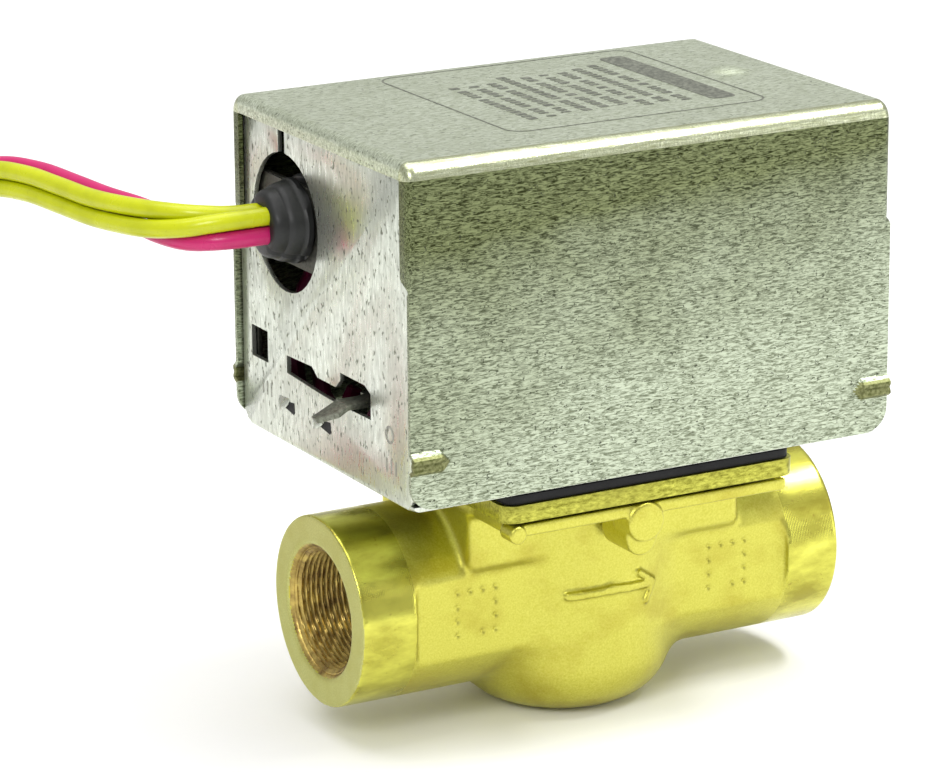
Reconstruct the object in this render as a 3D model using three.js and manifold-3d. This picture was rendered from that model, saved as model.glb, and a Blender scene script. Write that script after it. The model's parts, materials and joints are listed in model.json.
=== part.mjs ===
// Motorised two-way zone valve: a cast brass body with 1/2-14 NPT ports, and a
// spring-return powerhead under a sheet-metal cover.
//
// Millimetres, +Z up. The origin is the centre of the flat foot under the body,
// +X runs along the pipe in the direction of flow, and +Y points to the back.
import * as THREE from 'three';
import { mergeVertices } from 'three/addons/utils/BufferGeometryUtils.js';
import Module from 'manifold-3d';

const wasm = await Module();
wasm.setup();

// ---------------------------------------------------------------- dimensions

const GAP = 0.15; // clearance between stacked or nested pieces
const FINE = 36; // sides of a large round
const ROUND = 20; // sides of a shaft or a hole
const COARSE = 10; // sides of a small screw or pin

// Brass body.
const PIPE_Z = 20.8;
const BODY_LENGTH = 89;
const COLLAR_R = 15.6;
const FLAT_Y = 14.1; // wrench flats, half the distance across
const FLAT_X = 34.8; // half the length over the wrench flats
const THREAD_R = 9.7; // mean radius of the 1/2-14 NPT thread
const THREAD_DEPTH = 14;
const PASSAGE_R = 7.5;
const GLOBE_R = 18.3;
const GLOBE_FILLET = 9.3;
const CHAMBER_R = 13.4;
const CHAMBER_FLOOR_Z = 5.5;
const NECK = { x: 25.2, y: 15.55 };
const FLANGE = { x: 25.2, y: 28.9, z0: 37.9, z1: 40.4 };
const SEAT_X = -9.3; // face of the valve seat, on the inlet side
const SEAT_R = 6.5;

// Stem, sector gear and lever.
const STEM = { x: 0, y: 6.5, r: 3.0, boreR: 3.08 };
const BALL_R = 7.3;
const BALL_CLOSED_X = -5.73;
const PADDLE_Z = 28.8;
const CLOSED_ANGLE = THREE.MathUtils.degToRad(-25.5); // stem turn from rest to closed
const SECTOR_Z = 53;
const SECTOR_T = 2;
const LEVER_Z = 57.2;
const LEVER_T = 0.8;
const LEVER_WIDTH = 4.2;
const LEVER_PIN_AT = 8; // distance of the lever's pin from the stem axis
const LEVER_TIP = { x: -43, y: -9.4 }; // where the lever crosses the end plate

// Stack between the body and the powerhead.
const PLATE = { x: 26.8, y: 29.4, z0: 40.5, z1: 43.3 };
const GASKET = { x: 26.2, y: 28.9, z0: 43.4, z1: 44.8 };
const FLOOR_Z = 44.9; // underside of the base frame
const SHEET = 0.8; // galvanised sheet of the base frame and the cover
const FLOOR_TOP = FLOOR_Z + SHEET;

// Cover.
const COVER = { x: 43.65, y: 30.05, z0: 45.5, z1: 99.85 };
const BEND_R = 3;
const COVER_CORNER_R = 4;
const COVER_LIP = 3.2; // width of the flange turned in round each end
const COVER_LIP_DROP = 19; // how far that flange runs down each side

// Base frame.
const END_PLATE_X = 42.7; // outer face of each upturned end
const END_PLATE_TOP = 98.4;
const WIRE_HOLE = { y: 13.0, z: 81.7, r: 11.3 };

// Gears.
const SECTOR_TEETH = 48; // teeth on a full circle
const PINION_TEETH = 10;
const GEAR_TEETH = 20;
const COARSE_MODULE = 1.0;
const FINE_MODULE = 0.7;
const OUTPUT_ANGLE = THREE.MathUtils.degToRad(-24); // from the stem to the output shaft
const IDLER_ANGLE = THREE.MathUtils.degToRad(112); // from the output shaft to the idler
const ROTOR_ANGLE = THREE.MathUtils.degToRad(205); // from the idler to the rotor

// Motor.
const MOTOR_R = 24.5;
const MOTOR_PLATE_Z = 60.7;
const GEARBOX_Z = 61.9;
const GEARBOX_TOP = 71.2;
const ROTOR_R = 6.2;
const CAN_TOP = 91.3;

// Leads.
const LEAD_R = 1.4;
const BUNDLE_R = 2.19; // the four leads lie on this radius about the bundle's centre
const RELIEF = { y: 11.3, z: 82.4, tipX: -47.8, backX: -36.9 };
// The bundle's centre line, with how far it has twisted there in degrees.
const LEAD_ROUTE = [
  [-48.7, 11.1, 82.6, 0],
  [-51.5, 11.6, 82.5, -2],
  [-55.0, 13.0, 82.4, -12],
  [-58.4, 16.0, 82.3, -35],
  [-61.2, 21.0, 82.4, -60],
  [-63.3, 27.5, 82.6, -80],
  [-65.2, 34.8, 82.7, -88],
  [-67.0, 43.0, 83.2, -90],
  [-69.0, 52.0, 83.6, -92],
  [-71.8, 60.5, 83.0, -95],
  [-76.0, 68.5, 80.2, -110],
  [-81.6, 75.3, 74.4, -130],
  [-88.2, 80.4, 65.8, -150],
  [-95.4, 83.6, 55.2, -170],
  [-102.8, 84.8, 43.6, -190],
  [-109.8, 83.8, 32.4, -205],
  [-115.6, 80.2, 23.4, -218],
  [-119.2, 74.4, 18.6, -225],
];
const LEAD_NAMES = ['lead_yellow_front', 'lead_yellow_rear', 'lead_red_rear', 'lead_red_front'];
const FIRST_LEAD_ANGLE = -45;
const COIL = { x: -102, y: 70, r: 18, halfWidth: 6.3, z0: 0.8, z1: 14.8 };

// ------------------------------------------------------------------ materials

const brass = new THREE.MeshStandardMaterial({ color: 0xc9a93a, roughness: 0.35, metalness: 1 });
const zinc = new THREE.MeshStandardMaterial({ color: 0xa9aa9a, roughness: 0.45, metalness: 1 });
const steel = new THREE.MeshStandardMaterial({ color: 0x8d8f92, roughness: 0.35, metalness: 1 });
const rubber = new THREE.MeshStandardMaterial({ color: 0x151515, roughness: 0.8, metalness: 0 });
const nylon = new THREE.MeshStandardMaterial({ color: 0xd8d2bc, roughness: 0.5, metalness: 0 });
const black = new THREE.MeshStandardMaterial({ color: 0x1c1d1f, roughness: 0.5, metalness: 0 });
const copper = new THREE.MeshStandardMaterial({ color: 0xa4552c, roughness: 0.4, metalness: 1 });
const yellow = new THREE.MeshStandardMaterial({ color: 0xc9d400, roughness: 0.4, metalness: 0 });
const red = new THREE.MeshStandardMaterial({ color: 0xc2265c, roughness: 0.4, metalness: 0 });

// -------------------------------------------------------------------- helpers

// A closed geometry as a solid, with its faces turned outwards.
function solid(geometry) {
  const bare = geometry.clone();
  bare.deleteAttribute('normal');
  bare.deleteAttribute('uv');
  const merged = mergeVertices(bare, 1e-4);
  const vertProperties = merged.getAttribute('position').array;
  const triVerts = new Uint32Array(merged.index.array);
  const made = new wasm.Manifold(new wasm.Mesh({ numProp: 3, vertProperties, triVerts }));
  if (made.volume() > 0) return made;
  for (let i = 0; i < triVerts.length; i += 3) {
    [triVerts[i + 1], triVerts[i + 2]] = [triVerts[i + 2], triVerts[i + 1]];
  }
  return new wasm.Manifold(new wasm.Mesh({ numProp: 3, vertProperties, triVerts }));
}

function geometryOf(shape) {
  const made = shape.getMesh();
  const geometry = new THREE.BufferGeometry();
  const points = new Float32Array(made.vertProperties);
  geometry.setAttribute('position', new THREE.BufferAttribute(points, 3));
  geometry.setIndex(new THREE.BufferAttribute(new Uint32Array(made.triVerts), 1));
  geometry.computeVertexNormals();
  return geometry;
}

function block(x0, x1, y0, y1, z0, z1) {
  const box = new THREE.BoxGeometry(x1 - x0, y1 - y0, z1 - z0);
  return solid(box.translate((x0 + x1) / 2, (y0 + y1) / 2, (z0 + z1) / 2));
}

// A round bar along one axis: a and b are its centre on the two other axes, in order.
function bar(axis, a, b, radius, from, to, sides = ROUND, endRadius = radius) {
  const round = new THREE.CylinderGeometry(endRadius, radius, to - from, sides);
  const middle = (from + to) / 2;
  if (axis === 'x') return solid(round.rotateZ(-Math.PI / 2).translate(middle, a, b));
  if (axis === 'y') return solid(round.translate(a, middle, b));
  return solid(round.rotateX(Math.PI / 2).translate(a, b, middle));
}

// A flat outline in X and Y, raised from z0 to z1.
function prism(points, z0, z1) {
  const shape = points instanceof THREE.Shape ? points : new THREE.Shape(points);
  const settings = { depth: z1 - z0, bevelEnabled: false, curveSegments: 6 };
  return solid(new THREE.ExtrudeGeometry(shape, settings).translate(0, 0, z0));
}

// A profile of [radius, height] points turned round the Z axis.
function turned(profile, sides = ROUND) {
  const points = profile.map(([r, z]) => new THREE.Vector2(r, z));
  return solid(new THREE.LatheGeometry(points, sides).rotateX(Math.PI / 2));
}

function ring(meanRadius, wireRadius, z, sides = ROUND, wireSides = 6) {
  const profile = [];
  for (let i = 0; i <= wireSides; i += 1) {
    const a = (2 * Math.PI * i) / wireSides;
    profile.push([meanRadius + wireRadius * Math.cos(a), z + wireRadius * Math.sin(a)]);
  }
  return turned(profile, sides);
}

function roundedRectangle(x0, x1, y0, y1, r) {
  const shape = new THREE.Shape();
  shape.moveTo(x0 + r, y0).lineTo(x1 - r, y0);
  shape.absarc(x1 - r, y0 + r, r, -Math.PI / 2, 0, false);
  shape.absarc(x1 - r, y1 - r, r, 0, Math.PI / 2, false);
  shape.absarc(x0 + r, y1 - r, r, Math.PI / 2, Math.PI, false);
  shape.absarc(x0 + r, y0 + r, r, Math.PI, 1.5 * Math.PI, false);
  return shape;
}

// A wire or lead along a curve.
function tube(curve, radius, steps, sides = 8) {
  const section = new THREE.Shape();
  for (let i = 0; i < sides; i += 1) {
    const a = (2 * Math.PI * i) / sides;
    if (i === 0) section.moveTo(radius, 0);
    else section.lineTo(radius * Math.cos(a), radius * Math.sin(a));
  }
  const settings = { steps, extrudePath: curve, bevelEnabled: false };
  return solid(new THREE.ExtrudeGeometry(section, settings));
}

function polar(centre, distance, angle) {
  return {
    x: centre.x + distance * Math.cos(angle),
    y: centre.y + distance * Math.sin(angle),
  };
}

const join = (first, ...rest) => rest.reduce((all, next) => all.add(next), first);
const cut = (first, ...rest) => rest.reduce((all, next) => all.subtract(next), first);

const valve = new THREE.Group();
const stemGroup = new THREE.Group();
stemGroup.position.set(STEM.x, STEM.y, 0);
valve.add(stemGroup);

function place(name, shape, material, parent = valve) {
  const mesh = new THREE.Mesh(geometryOf(shape), material);
  mesh.name = name;
  parent.add(mesh);
  return mesh;
}

// ----------------------------------------------------------------- fasteners

const PLATE_SCREWS = [[-20, -10.5], [20, -10.5], [-20, 10.5], [20, 10.5]];
const HEAD_SCREWS = [[-20, -22], [20, -22], [-20, 22], [20, 22]];
const SCREW_R = 1.5;

const holes = (places, radius, z0, z1) =>
  places.map(([x, y]) => bar('z', x, y, radius, z0, z1, COARSE));

// Countersunk screws that hold the valve plate on the body.
function plateScrews() {
  PLATE_SCREWS.forEach(([x, y], i) => {
    const shank = bar('z', x, y, SCREW_R, 33.5, PLATE.z1 - 1.3, COARSE);
    const head = bar('z', x, y, SCREW_R, PLATE.z1 - 1.3, PLATE.z1 - 0.05, COARSE, 2.7);
    const slot = block(x - 3, x + 3, y - 0.35, y + 0.35, PLATE.z1 - 0.6, PLATE.z1);
    place(`plate_screw_${i + 1}`, cut(join(shank, head), slot), brass);
  });
}

// Pan-head screws that hold the powerhead on the valve plate.
function headScrews() {
  HEAD_SCREWS.forEach(([x, y], i) => {
    const head = bar('z', x, y, 2.9, FLOOR_TOP + 0.05, FLOOR_TOP + 1.8, COARSE, 2.5);
    const shank = bar('z', x, y, SCREW_R, 39, FLOOR_TOP + 0.1, COARSE);
    const slot = block(x - 3, x + 3, y - 0.35, y + 0.35, FLOOR_TOP + 1.1, FLOOR_TOP + 2);
    place(`head_screw_${i + 1}`, cut(join(shank, head), slot), steel);
  });
}

// ------------------------------------------------------------------ wet side

function valveBody() {
  const end = BODY_LENGTH / 2;
  const collars = bar('x', 0, PIPE_Z, COLLAR_R, -end, end, FINE);
  const wrenchFlats = [-1, 1].map((side) => {
    const inner = side * FLAT_Y;
    const outer = side * (COLLAR_R + 1);
    return block(-FLAT_X, FLAT_X, Math.min(inner, outer), Math.max(inner, outer), 0, PIPE_Z + 16);
  });
  const globe = [[0, 0]];
  for (let i = 0; i <= 6; i += 1) {
    const a = (Math.PI / 2) * (i / 6);
    const r = GLOBE_R - GLOBE_FILLET + GLOBE_FILLET * Math.sin(a);
    globe.push([r, GLOBE_FILLET - GLOBE_FILLET * Math.cos(a)]);
  }
  globe.push([GLOBE_R, FLANGE.z0 - 5], [0, FLANGE.z0 - 5]);
  const neck = block(-NECK.x, NECK.x, -NECK.y, NECK.y, PIPE_Z, FLANGE.z1);
  const flange = prism(
    roundedRectangle(-FLANGE.x, FLANGE.x, -FLANGE.y, FLANGE.y, 2),
    FLANGE.z0,
    FLANGE.z1,
  );
  const lug = join(
    block(-3.9, 1.5, -28.2, -24.2, 33.7, FLANGE.z1),
    bar('y', -1.2, 33.7, 2.7, -28.2, -24.2, COARSE),
    bar('y', -1.2, 36.9, 3.2, -29.5, -25, COARSE),
  );
  const stub = bar('y', -24.6, 38.6, 1.45, -29.8, -26, COARSE);
  const outside = join(
    cut(collars, ...wrenchFlats),
    turned(globe, FINE),
    neck,
    flange,
    lug,
    stub,
  );
  const chamber = join(
    bar('z', 0, 0, CHAMBER_R, CHAMBER_FLOOR_Z, 36, FINE),
    bar('z', 0, 0, 12.6, 35, FLANGE.z1 + 1, FINE),
  );
  const seat = bar('x', 0, PIPE_Z, 9, -CHAMBER_R - 3, SEAT_X, FINE);
  const ports = [-1, 1].map((side) => {
    const at = (x0, x1) => (side > 0 ? [x0, x1] : [-x1, -x0]);
    const thread = bar('x', 0, PIPE_Z, THREAD_R, ...at(end - THREAD_DEPTH, end + 1), FINE);
    const radii = side > 0 ? [THREAD_R, 11.2] : [11.2, THREAD_R];
    const mouth = bar('x', 0, PIPE_Z, radii[0], ...at(end - 1.4, end + 0.1), FINE, radii[1]);
    return join(thread, mouth);
  });
  const inlet = bar('x', 0, PIPE_Z, SEAT_R, -end + THREAD_DEPTH - 1, SEAT_X + 1, FINE);
  const inletBore = bar('x', 0, PIPE_Z, PASSAGE_R, -end + 10, -20, FINE);
  const outlet = bar('x', 0, PIPE_Z, PASSAGE_R, 8, end - 10, FINE);
  const sealGroove = cut(
    bar('z', 0, 0, 15.2, FLANGE.z1 - 1.5, FLANGE.z1 + 1, FINE),
    bar('z', 0, 0, 12.7, FLANGE.z1 - 2, FLANGE.z1 + 2, FINE),
  );
  const hollow = cut(outside, chamber);
  return cut(
    join(hollow, seat),
    inlet,
    inletBore,
    outlet,
    ...ports,
    sealGroove,
    ...holes(PLATE_SCREWS, SCREW_R + GAP, 33, FLANGE.z1 + 1),
    ...holes(HEAD_SCREWS, SCREW_R + GAP, 37, FLANGE.z1 + 1),
  );
}

function valvePlate() {
  const outline = roundedRectangle(-PLATE.x, PLATE.x, -PLATE.y, PLATE.y, 2.5);
  const plate = prism(outline, PLATE.z0, PLATE.z1);
  const gland = bar('z', STEM.x, STEM.y, 5.2, 33.2, PLATE.z0 + 0.5);
  const countersinks = PLATE_SCREWS.map(([x, y]) =>
    bar('z', x, y, SCREW_R + GAP, PLATE.z1 - 1.45, PLATE.z1 + 0.01, COARSE, 3));
  return cut(
    join(plate, gland),
    bar('z', STEM.x, STEM.y, STEM.boreR, 30, 45),
    ...countersinks,
    ...holes(PLATE_SCREWS, SCREW_R + GAP, 39, 45),
    ...holes(HEAD_SCREWS, SCREW_R + GAP, 39, 45),
  );
}

function wetSide() {
  place('valve_body', valveBody(), brass);
  place('valve_plate', valvePlate(), brass);
  plateScrews();
  place('body_o_ring', ring(13.95, 0.7, FLANGE.z1 - 0.75, FINE), rubber);
  const gasket = cut(
    prism(roundedRectangle(-GASKET.x, GASKET.x, -GASKET.y, GASKET.y, 2), GASKET.z0, GASKET.z1),
    bar('z', STEM.x, STEM.y, 6, 40, 50),
    ...holes(HEAD_SCREWS, SCREW_R + GAP, 40, 50),
  );
  place('head_gasket', gasket, rubber);
}

// ------------------------------------------------------- stem and moving parts

const STEM_SEALS_Z = [36.0, 39.0];
const leverAngle = Math.atan2(LEVER_TIP.y - STEM.y, LEVER_TIP.x - STEM.x);
const ballClosedAngle = Math.atan2(-STEM.y, BALL_CLOSED_X);
const ballRadius = Math.hypot(BALL_CLOSED_X, STEM.y); // of the ball's path about the stem
const ballAngle = ballClosedAngle - CLOSED_ANGLE;

function stem() {
  const grooves = STEM_SEALS_Z.map((z) =>
    cut(bar('z', 0, 0, 4, z - 0.6, z + 0.6), bar('z', 0, 0, 2.0, z - 1, z + 1)));
  const clipGroove = cut(bar('z', 0, 0, 4, 58.0, 58.7), bar('z', 0, 0, 2.3, 57, 60));
  return cut(bar('z', 0, 0, STEM.r, PADDLE_Z - 0.3, 59.8), ...grooves, clipGroove);
}

// The arm under the gland, with the pin that carries the ball.
function paddleArm() {
  const ball = polar({ x: 0, y: 0 }, ballRadius, ballAngle);
  const hub = bar('z', 0, 0, 5, PADDLE_Z, PADDLE_Z + 2.4);
  const end = bar('z', ball.x, ball.y, 3, PADDLE_Z, PADDLE_Z + 2.4);
  const web = block(0, ballRadius, -2.6, 2.6, PADDLE_Z, PADDLE_Z + 2.4);
  const pin = bar('z', ball.x, ball.y, 1.4, PIPE_Z - 2, PADDLE_Z + 0.5, COARSE);
  const turnedWeb = web.rotate([0, 0, THREE.MathUtils.radToDeg(ballAngle)]);
  return cut(join(hub, end, turnedWeb, pin), bar('z', 0, 0, STEM.r + 0.05, 20, 40));
}

function ballPlug() {
  const ball = polar({ x: 0, y: 0 }, ballRadius, ballAngle);
  const sphere = new THREE.SphereGeometry(BALL_R, ROUND, 14).rotateX(Math.PI / 2);
  const socket = bar('z', ball.x, ball.y, 1.5, PIPE_Z - 2.3, PIPE_Z + 10, COARSE);
  return cut(solid(sphere.translate(ball.x, ball.y, PIPE_Z)), socket);
}

// A tooth as four points: from root to tip, across, and back to the root.
function tooth(teeth, gearModule, angle) {
  const pitch = (teeth * gearModule) / 2;
  const step = Math.PI / teeth;
  const corner = (radius, turn) => {
    const p = polar({ x: 0, y: 0 }, radius, angle + turn * step);
    return new THREE.Vector2(p.x, p.y);
  };
  const rootR = pitch - 1.2 * gearModule;
  const tipR = pitch + 0.85 * gearModule;
  return [corner(rootR, -0.6), corner(tipR, -0.2), corner(tipR, 0.2), corner(rootR, 0.6)];
}

function spurGear(teeth, gearModule, z0, z1, firstTooth) {
  const outline = [];
  for (let i = 0; i < teeth; i += 1) {
    outline.push(...tooth(teeth, gearModule, firstTooth + (2 * Math.PI * i) / teeth));
  }
  return prism(outline, z0, z1);
}

// The sector gear: eight teeth towards the motor's pinion, and on the other side a
// spiral cam edge that presses the switch's plunger in as the valve opens.
const CAM_R = 12.8;
const CAM_RISE = 2.5; // millimetres of radius for each radian
function sectorGear() {
  const outline = [];
  const step = (2 * Math.PI) / SECTOR_TEETH;
  for (let i = -2; i <= 5; i += 1) {
    outline.push(...tooth(SECTOR_TEETH, COARSE_MODULE, OUTPUT_ANGLE + i * step));
  }
  const around = (radius, degrees) => {
    const p = polar({ x: 0, y: 0 }, radius, THREE.MathUtils.degToRad(degrees));
    outline.push(new THREE.Vector2(p.x, p.y));
  };
  for (const degrees of [50, 75, 100, 125, 150]) around(8.5, degrees);
  for (let degrees = 158; degrees <= 222; degrees += 8) {
    around(CAM_R + CAM_RISE * THREE.MathUtils.degToRad(180 - degrees), degrees);
  }
  for (const degrees of [236, 256, 276, 296]) around(8.5, degrees);
  const web = prism(outline, SECTOR_Z, SECTOR_Z + SECTOR_T);
  const hub = bar('z', 0, 0, 5.4, SECTOR_Z - 0.8, 57.6);
  const ears = [-1, 1].map((side) => {
    const inner = side * (LEVER_WIDTH / 2 + 0.2);
    const outer = side * (LEVER_WIDTH / 2 + 1.2);
    const ear = block(
      LEVER_PIN_AT - 1.7,
      LEVER_PIN_AT + 1.7,
      Math.min(inner, outer),
      Math.max(inner, outer),
      SECTOR_Z + SECTOR_T - 0.1,
      59.2,
    );
    return ear.rotate([0, 0, THREE.MathUtils.radToDeg(leverAngle)]);
  });
  const pinHole = bar('y', LEVER_PIN_AT, LEVER_Z + 0.4, 0.85, -5, 5, COARSE);
  return cut(
    join(web, hub, ...ears),
    pinHole.rotate([0, 0, THREE.MathUtils.radToDeg(leverAngle)]),
    bar('z', 0, 0, STEM.r + 0.05, 50, 60),
  );
}

// The manual lever: a flat arm with a curled end on its pin, and a blade that
// crosses the end plate and turns down outside it for the finger.
function manualLever() {
  const degrees = THREE.MathUtils.radToDeg(leverAngle);
  const half = LEVER_WIDTH / 2;
  const reach = Math.hypot(LEVER_TIP.x - STEM.x, LEVER_TIP.y - STEM.y);
  const arm = block(LEVER_PIN_AT, reach - 4.5, -half, half, LEVER_Z, LEVER_Z + LEVER_T);
  const knuckle = bar('y', LEVER_PIN_AT, LEVER_Z + 0.4, 1.5, -half, half, COARSE);
  const pinHole = bar('y', LEVER_PIN_AT, LEVER_Z + 0.4, 0.85, -5, 5, COARSE);
  const inner = cut(join(arm, knuckle), pinHole).rotate([0, 0, degrees]);
  const crossing = { x: LEVER_TIP.x - STEM.x, y: LEVER_TIP.y - STEM.y };
  const blade = prism(
    [
      new THREE.Vector2(crossing.x + 6.6, crossing.y + 4.2),
      new THREE.Vector2(crossing.x + 2.4, crossing.y + 2.1),
      new THREE.Vector2(crossing.x - 1.6, crossing.y + 2.1),
      new THREE.Vector2(crossing.x - 1.6, crossing.y - 2.1),
      new THREE.Vector2(crossing.x + 2.4, crossing.y - 2.1),
      new THREE.Vector2(crossing.x + 5.2, crossing.y - 0.8),
    ],
    LEVER_Z,
    LEVER_Z + LEVER_T,
  );
  // The finger tip, drawn in X and Z and swept along Y, then its front corner cut off.
  const fall = prism(
    [
      new THREE.Vector2(crossing.x - 1.5, LEVER_Z),
      new THREE.Vector2(crossing.x - 1.3, LEVER_Z + LEVER_T),
      new THREE.Vector2(crossing.x - 5.9, LEVER_Z + LEVER_T - 2.2),
      new THREE.Vector2(crossing.x - 5.5, LEVER_Z - 2.2),
    ],
    -crossing.y - 2.1,
    -crossing.y + 2.1,
  ).rotate([90, 0, 0]);
  const corner = prism(
    [
      new THREE.Vector2(crossing.x - 3.2, crossing.y - 2.2),
      new THREE.Vector2(crossing.x - 6, crossing.y + 1.2),
      new THREE.Vector2(crossing.x - 6.5, crossing.y - 2.4),
    ],
    LEVER_Z - 4,
    LEVER_Z + 2,
  );
  return join(inner, blade, cut(fall, corner));
}

function movingParts() {
  place('stem', stem(), steel, stemGroup);
  STEM_SEALS_Z.forEach((z, i) => {
    place(`stem_o_ring_${i + 1}`, ring(2.5, 0.45, z), rubber, stemGroup);
  });
  place('paddle_arm', paddleArm(), steel, stemGroup);
  place('ball_plug', ballPlug(), rubber, stemGroup);
  place('sector_gear', sectorGear(), steel, stemGroup);
  const opening = block(0, 6, -1.6, 1.6, 57, 60);
  const clip = cut(bar('z', 0, 0, 4.6, 58.1, 58.6), bar('z', 0, 0, 2.4, 57, 60), opening);
  place('stem_clip', clip, steel, stemGroup);
  const degrees = THREE.MathUtils.radToDeg(leverAngle);
  const pin = bar('y', LEVER_PIN_AT, LEVER_Z + 0.4, 0.75, -3.6, 3.6, COARSE);
  place('lever_pin', pin.rotate([0, 0, degrees]), steel, stemGroup);
  place('manual_lever', manualLever(), zinc, stemGroup);
}

// ----------------------------------------------------------------- base frame

const SPRING_POST = { x: -9.5, y: -6.5 };
const POSTS = [[-4.5, -25], [-4.5, 25], [38, -24], [38, 24]];

// An outline in Y and Z as a plate between two X faces.
function uprightPlate(points, x0, x1) {
  return prism(points, x0, x1).rotate([90, 0, 90]);
}

function leverSlot() {
  const outline = [
    [13.35, 56.9], [13.35, 59.8], [4.5, 60.1], [2.6, 58.75], [-3.6, 58.75], [-5.15, 60.2],
    [-5.15, 61.5], [-13.4, 61.5], [-15.35, 60.5], [-15.35, 56.4], [-3, 56.2], [1.5, 56.3],
  ];
  return uprightPlate(
    outline.map(([y, z]) => new THREE.Vector2(y, z)),
    -END_PLATE_X - 1,
    -END_PLATE_X + 2,
  );
}

function baseFrame() {
  const floor = block(-END_PLATE_X + 0.3, END_PLATE_X - 0.3, -28.7, 28.7, FLOOR_Z, FLOOR_TOP);
  const ends = [-1, 1].map((side) => {
    const x0 = side < 0 ? -END_PLATE_X : END_PLATE_X - SHEET;
    const outline = [
      [-28.9, FLOOR_Z + 2], [-26.9, FLOOR_Z], [26.9, FLOOR_Z], [28.9, FLOOR_Z + 2],
      [28.9, 74], [27.2, 76], [27.2, END_PLATE_TOP], [-27, END_PLATE_TOP], [-28.9, 96.4],
    ];
    return uprightPlate(outline.map(([y, z]) => new THREE.Vector2(y, z)), x0, x0 + SHEET);
  });
  const lead = WIRE_HOLE;
  const cuts = [
    bar('x', lead.y, lead.z, lead.r, -END_PLATE_X - 1, -END_PLATE_X + 2, FINE),
    block(-END_PLATE_X - 1, -END_PLATE_X + 2, lead.y - 0.2, lead.y + 2.1, lead.z, 100),
    block(-END_PLATE_X - 1, -END_PLATE_X + 2, 20.05, 25.85, 56.9, 62.1),
    leverSlot(),
    bar('z', STEM.x, STEM.y, 4, 40, 50),
    bar('z', SPRING_POST.x, SPRING_POST.y, 1.25, 40, 50, COARSE),
    ...holes(HEAD_SCREWS, SCREW_R + GAP, 40, 50),
    ...holes(POSTS, 1.6, 40, 50),
  ];
  return cut(join(floor, ...ends), ...cuts);
}

// A torsion spring round the hub, one leg hooked behind its post.
function returnSpring() {
  const points = [];
  const turns = 3.25;
  const steps = 40;
  const start = Math.atan2(SPRING_POST.y - STEM.y, SPRING_POST.x - STEM.x);
  const post = polar(STEM, Math.hypot(SPRING_POST.x - STEM.x, SPRING_POST.y - STEM.y), start);
  points.push(new THREE.Vector3(post.x + 2.2, post.y - 1.4, 47));
  points.push(new THREE.Vector3(post.x + 2.6, post.y + 1.6, 47));
  for (let i = 0; i <= steps; i += 1) {
    const angle = start + 0.5 + (2 * Math.PI * turns * i) / steps;
    const p = polar(STEM, 7.2, angle);
    points.push(new THREE.Vector3(p.x, p.y, 47 + (4.4 * i) / steps));
  }
  return tube(new THREE.CatmullRomCurve3(points), 0.45, 52, 5);
}

function frameParts() {
  place('base_frame', baseFrame(), zinc);
  headScrews();
  place('return_spring', returnSpring(), steel);
  const post = bar('z', SPRING_POST.x, SPRING_POST.y, 1.2, FLOOR_Z, 51, COARSE);
  place('spring_post', post, steel);
  POSTS.forEach(([x, y], i) => {
    const pillar = bar('z', x, y, 2.3, FLOOR_TOP + 0.05, MOTOR_PLATE_Z - 0.05, COARSE);
    const rivet = bar('z', x, y, 1.5, FLOOR_Z, MOTOR_PLATE_Z + 1.6, COARSE);
    place(`motor_post_${i + 1}`, join(pillar, rivet), steel);
  });
}

// --------------------------------------------------------------------- motor

const sectorR = (SECTOR_TEETH * COARSE_MODULE) / 2;
const coarsePinionR = (PINION_TEETH * COARSE_MODULE) / 2;
const fineStep = ((GEAR_TEETH + PINION_TEETH) * FINE_MODULE) / 2; // centre distance
const output = polar(STEM, sectorR + coarsePinionR, OUTPUT_ANGLE);
const idler = polar(output, fineStep, IDLER_ANGLE);
const rotor = polar(idler, fineStep, ROTOR_ANGLE);
const halfTooth = (teeth) => Math.PI / teeth;
const EARS = [135, -45].map((degrees) => polar(rotor, 27.6, THREE.MathUtils.degToRad(degrees)));

function at(centre, mesh) {
  mesh.position.set(centre.x, centre.y, 0);
  return mesh;
}

function gearTrain() {
  const outputShaft = join(
    bar('z', 0, 0, 2, SECTOR_Z - 1, 65.7),
    spurGear(PINION_TEETH, COARSE_MODULE, SECTOR_Z - 0.3, SECTOR_Z + 2.3,
      OUTPUT_ANGLE + Math.PI + halfTooth(PINION_TEETH)),
    spurGear(GEAR_TEETH, FINE_MODULE, 63.7, 65.3, IDLER_ANGLE),
  );
  at(output, place('output_shaft', outputShaft, steel));
  const idlerGear = cut(
    join(
      spurGear(PINION_TEETH, FINE_MODULE, 63.3, 66.4,
        IDLER_ANGLE + Math.PI + halfTooth(PINION_TEETH)),
      spurGear(GEAR_TEETH, FINE_MODULE, 66.2, 67.8, ROTOR_ANGLE),
    ),
    bar('z', 0, 0, 1.06, 60, 70),
  );
  at(idler, place('idler_gear', idlerGear, nylon));
  at(idler, place('idler_pin', bar('z', 0, 0, 1, GEARBOX_Z + 0.1, 70.4), steel));
  const rotorSolid = join(
    bar('z', 0, 0, ROTOR_R, 73.6, 88),
    bar('z', 0, 0, 1.2, 65.8, 90),
    spurGear(PINION_TEETH, FINE_MODULE, 65.8, 68.2,
      ROTOR_ANGLE + Math.PI + halfTooth(PINION_TEETH)),
  );
  at(rotor, place('motor_rotor', rotorSolid, black));
}

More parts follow.
